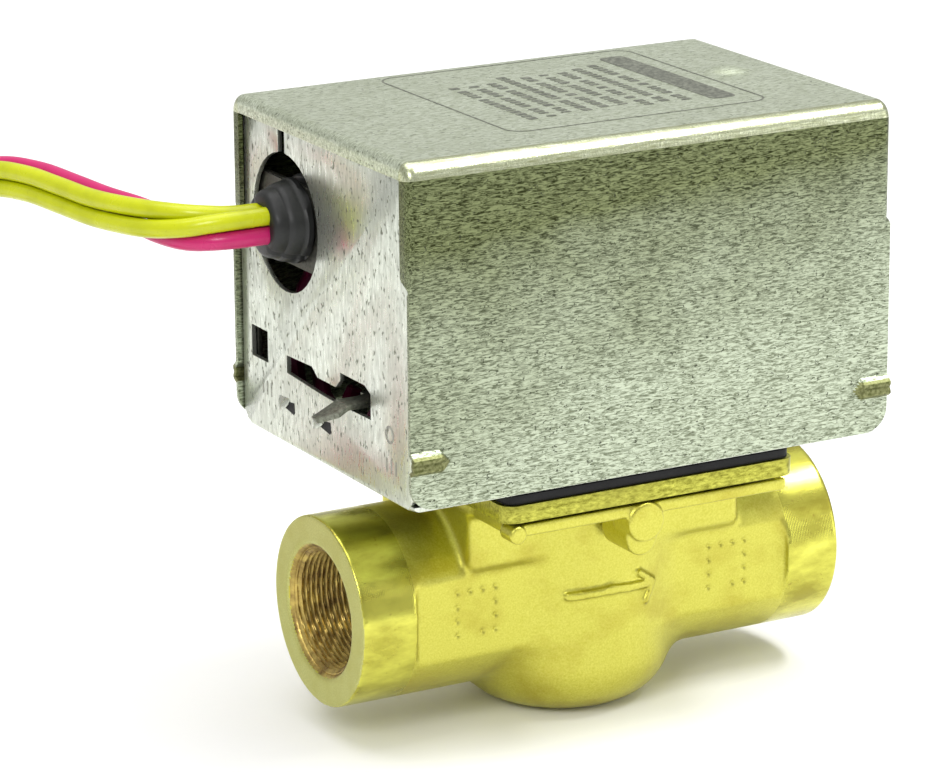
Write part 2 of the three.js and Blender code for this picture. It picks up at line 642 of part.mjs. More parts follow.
function motorParts() {
  const earHoles = EARS.map((ear) => bar('z', ear.x, ear.y, 1.6, 55, 66, COARSE));
  const plate = cut(
    prism(roundedRectangle(-9, 41.2, -28, 28, 4), MOTOR_PLATE_Z, MOTOR_PLATE_Z + 1.1),
    bar('z', output.x, output.y, 6.4, 55, 65),
    ...earHoles,
    ...holes(POSTS, 1.6, 55, 65),
  );
  place('motor_plate', plate, steel);
  const gearbox = cut(
    join(
      bar('z', rotor.x, rotor.y, MOTOR_R, GEARBOX_Z, GEARBOX_TOP, FINE),
      ...EARS.map((ear) => bar('z', ear.x, ear.y, 3.4, GEARBOX_Z, GEARBOX_Z + 1)),
    ),
    bar('z', rotor.x, rotor.y, MOTOR_R - 0.9, GEARBOX_Z + 1, GEARBOX_TOP + 1, FINE),
    bar('z', output.x, output.y, 2.06, 60, 65),
    bar('z', idler.x, idler.y, 1.05, 60, 65),
    ...earHoles,
  );
  place('gearbox_case', gearbox, zinc);
  const bearing = cut(
    bar('z', rotor.x, rotor.y, MOTOR_R - 1.1, 69.4, 70.4, FINE),
    bar('z', rotor.x, rotor.y, 1.26, 60, 75),
    bar('z', idler.x, idler.y, 1.06, 60, 75),
  );
  place('bearing_plate', bearing, steel);
  const coil = cut(
    bar('z', rotor.x, rotor.y, MOTOR_R - 1.2, 72, 89.6, FINE),
    bar('z', rotor.x, rotor.y, ROTOR_R + 0.8, 60, 95),
  );
  place('motor_coil', coil, copper);
  const can = cut(
    bar('z', rotor.x, rotor.y, MOTOR_R, GEARBOX_TOP + 0.1, CAN_TOP, FINE),
    bar('z', rotor.x, rotor.y, MOTOR_R - 0.8, GEARBOX_TOP - 1, CAN_TOP - 0.8, FINE),
  );
  place('motor_can', can, steel);
  EARS.forEach((ear, i) => {
    const shank = bar('z', ear.x, ear.y, SCREW_R, 58.6, GEARBOX_Z + 1.2, COARSE);
    const head = bar('z', ear.x, ear.y, 2.8, GEARBOX_Z + 1.05, GEARBOX_Z + 2.8, COARSE, 2.4);
    const slot = block(ear.x - 3, ear.x + 3, ear.y - 0.35, ear.y + 0.35,
      GEARBOX_Z + 2.1, GEARBOX_Z + 3);
    place(`motor_screw_${i + 1}`, cut(join(shank, head), slot), steel);
  });
}

// -------------------------------------------------------------------- switch

const SWITCH = { x0: -25.6, x1: -15.6, y0: -3.5, y1: 16.5, z0: 50.4, z1: 56.7 };
const PLUNGER = { x0: -16.6, x1: -13.1, halfY: 1.0, z0: 52.6, z1: 55.4 };
const SWITCH_SCREWS = [[-22.4, -0.8], [-22.4, 13.8]];

function switchParts() {
  const s = SWITCH;
  const frame = cut(
    block(-26, -15.4, -5, 18, FLOOR_TOP + 0.05, 50.3),
    block(-30, -10, -4, 17, 40, 49.3),
    ...holes(SWITCH_SCREWS, 1.3, 45, 55),
  );
  place('switch_bracket', frame, zinc);
  const pocket = block(-18.6, -10, STEM.y - PLUNGER.halfY - 0.25, STEM.y + PLUNGER.halfY + 0.25,
    PLUNGER.z0 - 0.25, PLUNGER.z1 + 0.25);
  const body = cut(
    block(s.x0, s.x1, s.y0, s.y1, s.z0, s.z1),
    pocket,
    ...holes(SWITCH_SCREWS, 1.3, 45, 55.3),
  );
  place('switch_body', body, black);
  const plunger = block(PLUNGER.x0, PLUNGER.x1, STEM.y - PLUNGER.halfY, STEM.y + PLUNGER.halfY,
    PLUNGER.z0, PLUNGER.z1);
  place('switch_plunger', plunger, nylon);
  ['common', 'open'].forEach((name, i) => {
    const y = 1.5 + i * 10;
    place(`switch_terminal_${name}`, block(-30, s.x0 - 0.1, y - 1.6, y + 1.6, 53.2, 53.8), copper);
  });
  SWITCH_SCREWS.forEach(([x, y], i) => {
    const shank = bar('z', x, y, 1.2, 49.1, 55, COARSE);
    const head = bar('z', x, y, 2, 47.8, 49.2, COARSE, 2.2);
    place(`switch_screw_${i + 1}`, join(shank, head), steel);
  });
}

// --------------------------------------------------------------------- leads

// A narrow post at the back with an arm across the wire hole, which holds the strain relief.
function leadBracket() {
  const x0 = -41.5;
  const x1 = x0 + 0.9;
  const outline = [
    [26.2, FLOOR_TOP + 0.05], [28.3, FLOOR_TOP + 0.05], [28.3, 88.3], [0.5, 88.3], [0.5, 74.6],
    [26.2, 74.6],
  ];
  const upright = uprightPlate(outline.map(([y, z]) => new THREE.Vector2(y, z)), x0, x1);
  const foot = block(x0, -34, 25.6, 28.3, FLOOR_TOP + 0.05, FLOOR_TOP + 0.95);
  return cut(join(upright, foot), bar('x', RELIEF.y, RELIEF.z, 5.65, -45, -38));
}

// The strain relief: an inner head, a neck in the bracket's hole and an outer taper.
function strainRelief() {
  const profile = [
    [0, RELIEF.backX], [7.2, RELIEF.backX], [7.2, -40.45], [5.5, -40.45], [5.5, -41.65],
    [6.9, -41.65], [6.7, -43.5], [5.1, RELIEF.tipX], [0, RELIEF.tipX],
  ];
  return turned(profile).rotate([0, 90, 0]).translate([0, RELIEF.y, RELIEF.z]);
}

// One lead's points: it winds round the bundle's centre line.
function leadCurve(index) {
  const routeOf = (row) => new THREE.Vector3(row[0], row[1], row[2]);
  const centre = new THREE.CatmullRomCurve3(LEAD_ROUTE.map(routeOf));
  const last = LEAD_ROUTE.length - 1;
  const up = new THREE.Vector3(0, 0, 1);
  const points = LEAD_ROUTE.map((row, i) => {
    const along = centre.getTangent(i / last);
    const normal = up.clone().addScaledVector(along, -up.dot(along)).normalize();
    const binormal = along.clone().cross(normal);
    const angle = THREE.MathUtils.degToRad(FIRST_LEAD_ANGLE + 90 * index + row[3]);
    return routeOf(row)
      .addScaledVector(normal, BUNDLE_R * Math.cos(angle))
      .addScaledVector(binormal, BUNDLE_R * Math.sin(angle));
  });
  return new THREE.CatmullRomCurve3(points);
}

// The stretches inside the powerhead. The yellow leads run to the motor. The red ones
// go down the back, behind the lever's sweep, and along the floor to the switch's terminals.
const INNER_ROUTES = {
  lead_yellow_front: [[-25, 11.7, 84], [-18, 10.7, 82.5], [-12.2, 5, 80]],
  lead_yellow_rear: [[-25, 15.4, 83], [-18, 14.4, 81.5], [-12.2, 9, 80]],
  lead_red_rear: [
    [-30, 17.5, 76], [-31, 23.4, 67], [-31.4, 24.6, 57], [-32.2, 21, 49.4], [-32.6, 15, 48.2],
    [-32.4, 12, 50.2], [-31.4, 11.5, 53.2],
  ],
  lead_red_front: [
    [-35, 13.5, 76], [-35.6, 21.5, 67], [-36.2, 23.4, 57], [-36.6, 19, 49.4], [-36.4, 11, 48.2],
    [-35.2, 4, 48.3], [-32.8, 1.7, 50.2], [-31.4, 1.5, 53.2],
  ],
};

function innerLead(index) {
  const angle = THREE.MathUtils.degToRad(FIRST_LEAD_ANGLE + 90 * index);
  const y = RELIEF.y + BUNDLE_R * Math.sin(angle);
  const z = RELIEF.z + BUNDLE_R * Math.cos(angle);
  const start = [[RELIEF.backX + 0.3, y, z], [RELIEF.backX + 4, y, z]];
  return new THREE.CatmullRomCurve3(
    [...start, ...INNER_ROUTES[LEAD_NAMES[index]]].map((point) => new THREE.Vector3(...point)),
  );
}

function leadCoil() {
  const c = COIL;
  const edge = 1.2;
  const inner = c.r - c.halfWidth;
  const outer = c.r + c.halfWidth;
  const profile = [
    [inner + edge, c.z0], [outer - edge, c.z0], [outer, c.z0 + edge], [outer, c.z1 - edge],
    [outer - edge, c.z1], [inner + edge, c.z1], [inner, c.z1 - edge], [inner, c.z0 + edge],
    [inner + edge, c.z0],
  ];
  return turned(profile, FINE).translate([c.x, c.y, 0]);
}

// A strap round the coil's section, on the side away from where the leads come in.
function tieLoop(clearance) {
  const c = COIL;
  const inner = c.r - c.halfWidth - clearance;
  const outer = c.r + c.halfWidth + clearance;
  const loop = block(inner, outer, -1.6 - clearance, 1.6 + clearance,
    c.z0 - clearance, c.z1 + clearance);
  return loop.rotate([0, 0, -70]).translate([c.x, c.y, 0]);
}

function leadParts() {
  place('lead_bracket', leadBracket(), zinc);
  place('strain_relief', strainRelief(), black);
  LEAD_NAMES.forEach((name, i) => {
    const colour = i < 2 ? yellow : red;
    place(name, tube(leadCurve(i), LEAD_R, 21), colour);
    place(`inner_${name}`, tube(innerLead(i), LEAD_R, 12, 6), colour);
  });
  const coil = leadCoil();
  place('lead_coil', coil, yellow);
  const strap = cut(tieLoop(0.8), coil, tieLoop(0.25));
  place('lead_tie', strap, black);
}

// --------------------------------------------------------------------- cover

function coverProfile(inset) {
  const y = COVER.y - inset;
  const top = COVER.z1 - inset;
  const r = BEND_R - inset;
  const shape = new THREE.Shape();
  shape.moveTo(-y, COVER.z0 - inset * 2).lineTo(y, COVER.z0 - inset * 2).lineTo(y, top - r);
  shape.absarc(y - r, top - r, r, 0, Math.PI / 2, false);
  shape.lineTo(-y + r, top);
  shape.absarc(-y + r, top - r, r, Math.PI / 2, Math.PI, false);
  return shape;
}

function cover() {
  const along = (shape, x0, x1) => prism(shape, x0, x1).rotate([90, 0, 90]);
  const inside = along(coverProfile(SHEET), -COVER.x - 1, COVER.x + 1);
  const sheet = cut(along(coverProfile(0), -COVER.x, COVER.x), inside);
  const lips = [-1, 1].map((side) => {
    const x0 = side < 0 ? -COVER.x : COVER.x - SHEET;
    return cut(
      along(coverProfile(0.1), x0, x0 + SHEET),
      block(-50, 50, -COVER.y + COVER_LIP, COVER.y - COVER_LIP, 40, COVER.z1 - COVER_LIP),
      block(-50, 50, -40, 40, 40, COVER.z1 - COVER_LIP_DROP),
    );
  });
  const sides = roundedRectangle(-COVER.x, COVER.x, COVER.z0, COVER.z1 + 20, COVER_CORNER_R);
  const corners = prism(sides, -40, 40).rotate([90, 0, 0]);
  const ridges = [];
  for (const face of [-1, 1]) {
    for (const end of [-1, 1]) {
      const x = [end * (COVER.x - 0.3), end * (COVER.x - 5.4)].sort((a, b) => a - b);
      ridges.push(bar('x', face * (COVER.y - 0.4), COVER.z0 + 8.3, 1.2, x[0], x[1]));
    }
  }
  return join(join(sheet, ...lips).intersect(corners), cut(join(...ridges), inside));
}

wetSide();
movingParts();
frameParts();
gearTrain();
motorParts();
switchParts();
leadParts();
place('cover', cover(), zinc);

export default valve;
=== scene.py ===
"""Looks for the motorised zone valve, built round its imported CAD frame.

Lengths in this script are millimetres in the CAD frame: +X along the flow, +Y to the
back, +Z up, with the origin under the middle of the body. Meshes are made in metres.
"""

import json
import math
import random

import bmesh
import bpy
import numpy as np
import openvdb
from mathutils import Matrix, Vector

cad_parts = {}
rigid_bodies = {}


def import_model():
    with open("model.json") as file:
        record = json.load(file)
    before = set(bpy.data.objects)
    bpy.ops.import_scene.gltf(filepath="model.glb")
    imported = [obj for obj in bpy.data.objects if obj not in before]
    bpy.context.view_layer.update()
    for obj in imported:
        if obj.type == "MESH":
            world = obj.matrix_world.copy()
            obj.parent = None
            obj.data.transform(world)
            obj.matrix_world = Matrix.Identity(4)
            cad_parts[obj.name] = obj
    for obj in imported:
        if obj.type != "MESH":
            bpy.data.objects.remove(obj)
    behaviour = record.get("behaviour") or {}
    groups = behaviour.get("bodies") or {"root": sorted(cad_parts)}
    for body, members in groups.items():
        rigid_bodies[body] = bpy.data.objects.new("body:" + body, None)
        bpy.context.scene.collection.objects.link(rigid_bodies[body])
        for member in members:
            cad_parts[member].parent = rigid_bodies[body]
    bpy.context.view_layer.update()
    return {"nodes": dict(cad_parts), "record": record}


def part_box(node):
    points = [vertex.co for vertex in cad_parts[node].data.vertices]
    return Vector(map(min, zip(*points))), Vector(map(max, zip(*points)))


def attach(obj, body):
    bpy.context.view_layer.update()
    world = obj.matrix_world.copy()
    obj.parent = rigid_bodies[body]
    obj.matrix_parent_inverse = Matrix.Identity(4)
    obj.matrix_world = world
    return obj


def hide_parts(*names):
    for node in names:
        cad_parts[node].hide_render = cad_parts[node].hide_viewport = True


MM = 0.001

for old in list(bpy.data.objects):
    bpy.data.objects.remove(old)

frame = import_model()


def node_box(node):
    """Lowest and highest corner of a CAD node, in millimetres."""
    low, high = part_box(node)
    return Vector(low) / MM, Vector(high) / MM


# --- dimensions ---

BODY_LOW, BODY_HIGH = node_box("valve_body")
COVER_LOW, COVER_HIGH = node_box("cover")
FRAME_LOW = node_box("base_frame")[0]

PIPE_Z = 20.8
PORT_X = BODY_HIGH.x
COLLAR_R = 15.6
FLAT_Y = 14.1
FLAT_X = 34.8
GLOBE_R = 18.3
GLOBE_FILLET = 9.3
NECK_X = 25.2
NECK_Y = 15.55
FLANGE_X = 25.2
FLANGE_Y = 28.9
FLANGE_Z0 = 37.9
FLANGE_Z1 = 40.4
CHAMBER_R = 13.4
SEAT_R = 6.5
WATERWAY_R = 7.5
LUG_X = -1.2
DOT_R = 0.46
DOTS_START = (-27.0, 17.9)
DOTS_STEP = (2.3, 2.37)
DOTS_APART = 47
THREAD_R = 9.7
THREAD_PITCH = 1.814
THREAD_LINES = 2  # ridges to each pitch, since the crest and the root each catch the light
THREAD_DEPTH = 14
MOUTH_R = 11.2
MOUTH_DEPTH = 1.4

COVER_X = 43.65
COVER_Y = 30.05
COVER_TOP = COVER_HIGH.z
COVER_BOTTOM = COVER_LOW.z
COVER_BEND = 3.0
COVER_CORNER = 4.0
SHEET = 0.8
LIP = 2.9
LIP_BEND = 1.5
LIP_DROP = 19.0
RIDGE_Z = 52.9
RIDGE_R = 1.65
RIDGE_LENGTH = 6.8
RIDGE_RISE = 1.1
DOME_X = 33.6
DOME_Y = 3.0
DOME_R = 4.2
DOME_RISE = 0.95
END_FACE_X = FRAME_LOW.x
PIP_Z = 51.7
PIPS = ((13.4, 5.6), (1.2, 6.4))  # middle in Y, width

RELIEF_Y = 11.3
RELIEF_Z = 82.4
RELIEF_TIP_X = node_box("strain_relief")[0].x

LEAD_DIAMETER = 3.0
LEAD_LENGTH = 457.0
BUNDLE_R = 2.19
FIRST_LEAD_ANGLE = -45
LEAD_NAMES = ("lead_yellow_front", "lead_yellow_rear", "lead_red_rear", "lead_red_front")
# The bundle's centre line, with how far it has twisted there in degrees.
LEAD_ROUTE = [
    (-46.8, 11.0, 82.6, 0),
    (-48.7, 11.1, 82.6, 0),
    (-51.5, 11.6, 82.5, -2),
    (-55.0, 13.0, 82.4, -12),
    (-58.4, 16.0, 82.3, -35),
    (-61.2, 21.0, 82.4, -60),
    (-63.3, 27.5, 82.6, -80),
    (-65.2, 34.8, 82.7, -88),
    (-67.0, 43.0, 83.2, -90),
    (-69.0, 52.0, 83.6, -92),
    (-71.8, 60.5, 83.0, -95),
    (-76.0, 68.5, 80.2, -110),
    (-81.6, 75.3, 74.4, -130),
    (-88.2, 80.4, 65.8, -150),
    (-95.4, 83.6, 55.2, -170),
    (-102.8, 84.8, 43.6, -190),
    (-109.8, 83.8, 32.4, -205),
    (-115.6, 80.2, 23.4, -218),
    (-119.2, 74.4, 18.6, -225),
]
COIL_CENTRE = (-102.0, 70.0)
COIL_STEP = 3.1
COIL_RADII = (22.65, 19.55, 13.35, 16.45)
COIL_SETTLE = math.radians(105)
TIE_ANGLE = math.radians(-70)


# --- camera ---


def placed(name, data):
    """A new object in the scene, made of the given data."""
    made = bpy.data.objects.new(name, data)
    bpy.context.scene.collection.objects.link(made)
    return made


def camera():
    """A long lens at the viewing angle: from the front left, a little above."""
    yaw, pitch, roll = -0.50811, -0.283425, 0.00663
    turn = Matrix.Rotation(yaw, 3, "Z") @ Matrix.Rotation(pitch, 3, "X") @ Matrix.Rotation(roll, 3, "Y")
    right, forward, up = turn.col[0], turn.col[1], turn.col[2]
    data = bpy.data.cameras.new("camera")
    data.lens = 162.29
    data.sensor_width = 36.0
    data.clip_end = 50
    place = Matrix((right, up, -forward)).transposed().to_4x4()
    place.translation = Vector((-0.3370, -0.5770, 0.2464))
    seen = placed("camera", data)
    seen.matrix_world = place
    bpy.context.scene.camera = seen


# --- material tools ---


class Shader:
    """A Principled material and the few nodes that its detail is made of."""

    def __init__(self, name, colour, metallic, roughness, **sockets):
        self.material = bpy.data.materials.new(name)
        self.material.use_nodes = True
        self.tree = self.material.node_tree
        self.surface = self.tree.nodes["Principled BSDF"]
        self.surface.inputs["Base Color"].default_value = (*colour, 1)
        self.surface.inputs["Metallic"].default_value = metallic
        self.surface.inputs["Roughness"].default_value = roughness
        for socket, value in sockets.items():
            self.surface.inputs[socket.replace("_", " ")].default_value = value
        self.place = self.node("ShaderNodeTexCoord").outputs["Object"]
        self.bumped = None

    def node(self, kind, inputs=(), **settings):
        made = self.tree.nodes.new(kind)
        for key, value in settings.items():
            setattr(made, key, value)
        for socket, value in inputs:
            made.inputs[socket].default_value = value
        return made

    def link(self, source, target):
        self.tree.links.new(source, target)

    def noise(self, size, stretch=(1, 1, 1), detail=3.0, rough=0.55, distortion=0.0, shift=0.0):
        """Noise with features about size millimetres across, stretched along each axis."""
        inputs = (("Scale", tuple(1 / s for s in stretch)), ("Location", (shift, shift * 0.7, -shift)))
        mapping = self.node("ShaderNodeMapping", inputs)
        self.link(self.place, mapping.inputs["Vector"])
        inputs = (("Scale", 1 / (size * MM)), ("Detail", detail), ("Roughness", rough),
                  ("Distortion", distortion))
        made = self.node("ShaderNodeTexNoise", inputs)
        self.link(mapping.outputs["Vector"], made.inputs["Vector"])
        return made.outputs["Fac"]

    def ramp(self, value, low, high, bottom=0.0, top=1.0):
        """value between low and high, spread over bottom to top and clamped."""
        inputs = (("From Min", low), ("From Max", high), ("To Min", bottom), ("To Max", top))
        made = self.node("ShaderNodeMapRange", inputs)
        self.link(value, made.inputs["Value"])
        return made.outputs["Result"]

    def blend(self, amount, first, second):
        """A colour between first and second, each a colour or another node's output."""
        made = self.node("ShaderNodeMix", data_type="RGBA")
        self.link(amount, made.inputs["Factor"])
        for socket, value in ((made.inputs[6], first), (made.inputs[7], second)):
            if isinstance(value, tuple):
                socket.default_value = (*value, 1)
            else:
                self.link(value, socket)
        return made.outputs[2]

    def tones(self, value, low, high, first, second):
        """The first colour where value is low and the second where it is high."""
        return self.blend(self.ramp(value, low, high), first, second)

    def spots(self, value, low, high, most, base, spot):
        """base, with up to the given amount of the spot colour where value is high."""
        return self.blend(self.ramp(value, low, high, 0.0, most), base, spot)

    def colour(self, value):
        self.link(value, self.surface.inputs["Base Color"])

    def gloss(self, value, first, second):
        """Roughness that goes from first to second as value rises."""
        self.link(self.ramp(value, 0.3, 0.7, first, second), self.surface.inputs["Roughness"])

    def bump(self, height, depth, strength=1.0):
        """Relief about depth millimetres deep, on top of the relief so far."""
        made = self.node("ShaderNodeBump", (("Strength", strength), ("Distance", depth * MM)))
        self.link(height, made.inputs["Height"])
        if self.bumped is not None:
            self.link(self.bumped, made.inputs["Normal"])
        self.bumped = made.outputs["Normal"]
        self.link(self.bumped, self.surface.inputs["Normal"])

    def axis(self, letter):
        split = self.node("ShaderNodeSeparateXYZ")
        self.link(self.place, split.inputs["Vector"])
        return split.outputs[letter]

    def total(self, first, second):
        """The sum of two outputs."""
        made = self.node("ShaderNodeMath", operation="ADD")
        self.link(first, made.inputs[0])
        self.link(second, made.inputs[1])
        return made.outputs[0]

    def wave(self, letter, pitch, wobble=0.0):
        """Fine parallel lines across one axis, pitch millimetres apart."""
        made = self.node("ShaderNodeTexWave", wave_type="BANDS", bands_direction=letter)
        made.inputs["Scale"].default_value = 1 / (pitch * MM) / 3.14
        made.inputs["Distortion"].default_value = wobble
        self.link(self.place, made.inputs["Vector"])
        return made.outputs["Fac"]


# --- materials ---


def cover_zinc():
    """Zinc-coated sheet with fine rolled streaks and pits, and a painted olive reflection.

    The painted reflection is darkest high up and towards the inlet end, with painted shade just under
    the top fold.
    """
    s = Shader("cover_zinc", (0.42, 0.45, 0.34), 0.92, 0.36)
    streaks = s.noise(0.30, (5.0, 1, 1), detail=4, rough=0.7, distortion=0.9)
    waves = s.noise(1.5, (4.0, 1, 1), detail=2, shift=2.0)
    broad = s.noise(16, (1.4, 1, 1), detail=2)
    pits = s.noise(0.42, (1.4, 1, 1), detail=1, shift=3.0)
    # Painted reflection and shade: the first two ramps darken the sheet high up and towards the inlet
    # end, and the third paints a shade band just below the top fold; the broad noise is the sheet's own
    # uneven tone.
    height = s.ramp(s.axis("Z"), COVER_BOTTOM * MM, COVER_TOP * MM, -0.02, 1.0)
    length = s.ramp(s.axis("X"), -COVER_X * MM, COVER_X * MM, 0.28, 0.0)
    painted_shade_under_fold = s.ramp(s.axis("Z"), (COVER_TOP - 14) * MM, (COVER_TOP - 3) * MM, 0.0, 0.32)
    amount = s.total(s.total(height, length), s.ramp(broad, 0.3, 0.7, -0.13, 0.13))
    amount = s.total(amount, painted_shade_under_fold)
    # The pale tone is the sheet low down and the olive tone is the painted dark reflection high up; the
    # streaks in both are the real rolling.
    pale = s.tones(streaks, 0.40, 0.58, (0.17, 0.195, 0.125), (0.54, 0.60, 0.455))
    olive = s.tones(streaks, 0.40, 0.58, (0.022, 0.026, 0.006), (0.205, 0.235, 0.11))
    base = s.tones(amount, 0.30, 1.10, pale, olive)
    s.colour(s.spots(pits, 0.68, 0.73, 0.85, base, (0.04, 0.045, 0.025)))
    s.gloss(streaks, 0.50, 0.30)
    s.bump(waves, 0.10, 0.35)
    s.bump(streaks, 0.07, 0.7)
    s.bump(s.ramp(pits, 0.68, 0.73, 1.0, 0.0), 0.08, 0.8)
    return s.material


def top_zinc_painted_light():
    """The cover's flat top: the same sheet, more even, and painted paler as the face lit from above."""
    s = Shader("top_zinc_painted_light", (0.55, 0.60, 0.47), 0.9, 0.42)
    grain = s.noise(0.42, (3.2, 1, 1), detail=4, rough=0.7)
    broad = s.noise(12, (1.5, 1, 1), detail=2)
    specks = s.noise(0.5, (1.6, 1, 1), detail=1, shift=9.0)
    base = s.tones(grain, 0.38, 0.62, (0.38, 0.42, 0.29), (0.76, 0.82, 0.66))
    cloudy = s.spots(broad, 0.35, 0.7, 0.35, base, (0.44, 0.48, 0.35))
    s.colour(s.spots(specks, 0.65, 0.70, 0.75, cloudy, (0.13, 0.15, 0.09)))
    s.gloss(grain, 0.46, 0.30)
    s.bump(grain, 0.09, 0.7)
    return s.material


def bend_zinc_painted_highlight():
    """Where the sheet is folded: stretched smoother, and brighter with a painted highlight."""
    s = Shader("bend_zinc_painted_highlight", (0.60, 0.64, 0.50), 0.95, 0.26)
    grain = s.noise(0.3, (9, 1, 1), detail=3, rough=0.6)
    cracks = s.noise(0.35, (1, 3, 3), detail=3, shift=7.0)
    base = s.tones(grain, 0.3, 0.7, (0.30, 0.32, 0.17), (0.66, 0.70, 0.50))
    s.colour(s.spots(cracks, 0.62, 0.72, 0.5, base, (0.20, 0.21, 0.12)))
    s.gloss(grain, 0.32, 0.2)
    s.bump(grain, 0.04, 0.6)
    s.bump(cracks, 0.05, 0.5)
    return s.material


def frame_zinc():
    """The end plate's brighter zinc, with dark specks drawn out along the rolling."""
    s = Shader("frame_zinc", (0.62, 0.63, 0.58), 0.92, 0.36)
    grain = s.noise(0.5, (1, 1, 4.5), detail=3, rough=0.6)
    broad = s.noise(9, (1, 1, 1.6), detail=2)
    specks = s.noise(0.62, (1, 1, 1.9), detail=1.5, shift=5.0)
    base = s.tones(grain, 0.3, 0.7, (0.46, 0.49, 0.42), (0.76, 0.80, 0.70))
    cloudy = s.spots(broad, 0.35, 0.7, 0.45, base, (0.46, 0.47, 0.41))
    s.colour(s.spots(specks, 0.62, 0.69, 0.85, cloudy, (0.12, 0.135, 0.09)))
    s.gloss(grain, 0.38, 0.24)
    s.bump(grain, 0.03, 0.6)
    s.bump(s.ramp(specks, 0.65, 0.70, 1.0, 0.0), 0.08, 0.7)
    return s.material


def dark_zinc(name, dark, light):
    """Darker zinc: dulled, as in struck marks, and painted shade, as on the cover's ridges and on
    brackets inside.
    """
    s = Shader(name, dark, 0.9, 0.45)
    worn = s.noise(0.5, detail=3)
    s.colour(s.tones(worn, 0.35, 0.65, dark, light))
    s.gloss(worn, 0.4, 0.55)
    s.bump(worn, 0.02, 0.4)
    return s.material


def cast_brass():
    """Sand-cast yellow brass: matt and grainy, with faint tarnish."""
    s = Shader("cast_brass", (0.66, 0.62, 0.10), 0.95, 0.36)
    sand = s.noise(0.32, detail=4, rough=0.65)
    lumps = s.noise(3.2, detail=2, shift=2.0)
    tarnish = s.noise(7.0, (1.4, 1, 1), detail=4, rough=0.6, shift=8.0)
    base = s.tones(sand, 0.3, 0.7, (0.48, 0.455, 0.060), (0.635, 0.61, 0.125))
    s.colour(s.spots(tarnish, 0.48, 0.74, 0.45, base, (0.32, 0.235, 0.018)))
    s.gloss(sand, 0.28, 0.42)
    s.bump(lumps, 0.30, 0.3)
    s.bump(sand, 0.04, 0.6)
    return s.material


def turned_brass():
    """The port collars: lathe-turned and bright, with fine rings round the axis."""
    s = Shader("turned_brass", (0.66, 0.64, 0.10), 1.0, 0.2)
    rings = s.wave("X", 0.32, 1.2)
    smear = s.noise(5.0, (2.2, 1, 1), detail=4, rough=0.6)
    stain = s.noise(0.9, (1, 1, 1), detail=2, shift=4.0)
    base = s.tones(smear, 0.35, 0.7, (0.70, 0.69, 0.12), (0.34, 0.31, 0.045))
    s.colour(s.spots(stain, 0.68, 0.75, 0.5, base, (0.22, 0.15, 0.03)))
    s.gloss(smear, 0.16, 0.32)
    s.bump(rings, 0.012, 0.5)
    s.bump(smear, 0.12, 0.3)
    return s.material


def faced_brass():
    """The machined ring round each port: pale, matt and finely grooved."""
    s = Shader("faced_brass", (0.58, 0.58, 0.22), 0.85, 0.5)
    grain = s.noise(0.25, detail=3)
    cloud = s.noise(4.0, detail=2)
    base = s.tones(grain, 0.3, 0.7, (0.43, 0.43, 0.125), (0.60, 0.60, 0.24))
    s.colour(s.spots(cloud, 0.4, 0.7, 0.45, base, (0.44, 0.42, 0.10)))
    s.gloss(grain, 0.42, 0.58)
    s.bump(grain, 0.03, 0.5)
    return s.material


def thread_brass():
    """Inside the ports: cut threads with cutting oil and brown tarnish in the roots."""
    s = Shader("thread_brass", (0.45, 0.27, 0.08), 1.0, 0.3)
    stain = s.noise(2.6, (2, 1, 1), detail=4, rough=0.65)
    fine = s.noise(0.3, detail=3)
    s.colour(s.tones(stain, 0.35, 0.65, (0.22, 0.14, 0.05), (0.60, 0.46, 0.13)))
    s.gloss(fine, 0.26, 0.46)
    s.bump(fine, 0.03, 0.6)
    return s.material


def plate_brass():
    """Rolled brass plate with sheared edges."""
    s = Shader("plate_brass", (0.50, 0.48, 0.08), 1.0, 0.36)
    shear = s.noise(0.6, (2.5, 1, 1), detail=4, rough=0.7)
    cloud = s.noise(6.0, (2, 1, 1), detail=3)
    base = s.tones(shear, 0.35, 0.65, (0.19, 0.185, 0.02), (0.58, 0.575, 0.10))
    s.colour(s.spots(cloud, 0.4, 0.7, 0.45, base, (0.34, 0.32, 0.06)))
    s.gloss(shear, 0.48, 0.26)
    s.bump(shear, 0.12, 0.7)
    return s.material


def plain_steel():
    """Drawn and stamped steel with a light plating."""
    s = Shader("plain_steel", (0.52, 0.52, 0.50), 1.0, 0.32)
    drawn = s.noise(0.35, (1, 1, 6), detail=3)
    cloud = s.noise(5.0, detail=3)
    base = s.tones(drawn, 0.3, 0.7, (0.42, 0.42, 0.41), (0.62, 0.62, 0.60))
    s.colour(s.spots(cloud, 0.45, 0.7, 0.4, base, (0.40, 0.37, 0.31)))
    s.gloss(drawn, 0.38, 0.24)
    s.bump(drawn, 0.02, 0.5)
    return s.material


def moulded(name, dark, light, roughness, grain=0.28, relief=0.03, **sockets):
    """Moulded rubber or plastic: a fine grain, a faint cloud and soft gloss."""
    s = Shader(name, dark, 0.0, roughness, **sockets)
    texture = s.noise(grain, detail=3)
    cloud = s.noise(5.0, detail=2, shift=1.0)
    s.colour(s.tones(cloud, 0.3, 0.7, dark, light))
    s.gloss(texture, roughness - 0.07, roughness + 0.08)
    s.bump(texture, relief, 0.6)
    return s.material


def insulation(name, dark, light):
    """Extruded lead insulation: glossy, with a faint haze and tiny scuffs."""
    s = Shader(name, light, 0.0, 0.3, Coat_Weight=0.15, Coat_Roughness=0.15, Specular_IOR_Level=0.35)
    haze = s.noise(6.0, detail=3)
    scuffs = s.noise(0.5, (1, 1, 1), detail=2, shift=6.0)
    base = s.spots(haze, 0.42, 0.8, 0.6, light, dark)
    s.colour(s.spots(scuffs, 0.66, 0.74, 0.4, base, dark))
    s.gloss(haze, 0.24, 0.38)
    s.bump(haze, 0.10, 0.25)
    s.bump(scuffs, 0.02, 0.4)
    return s.material


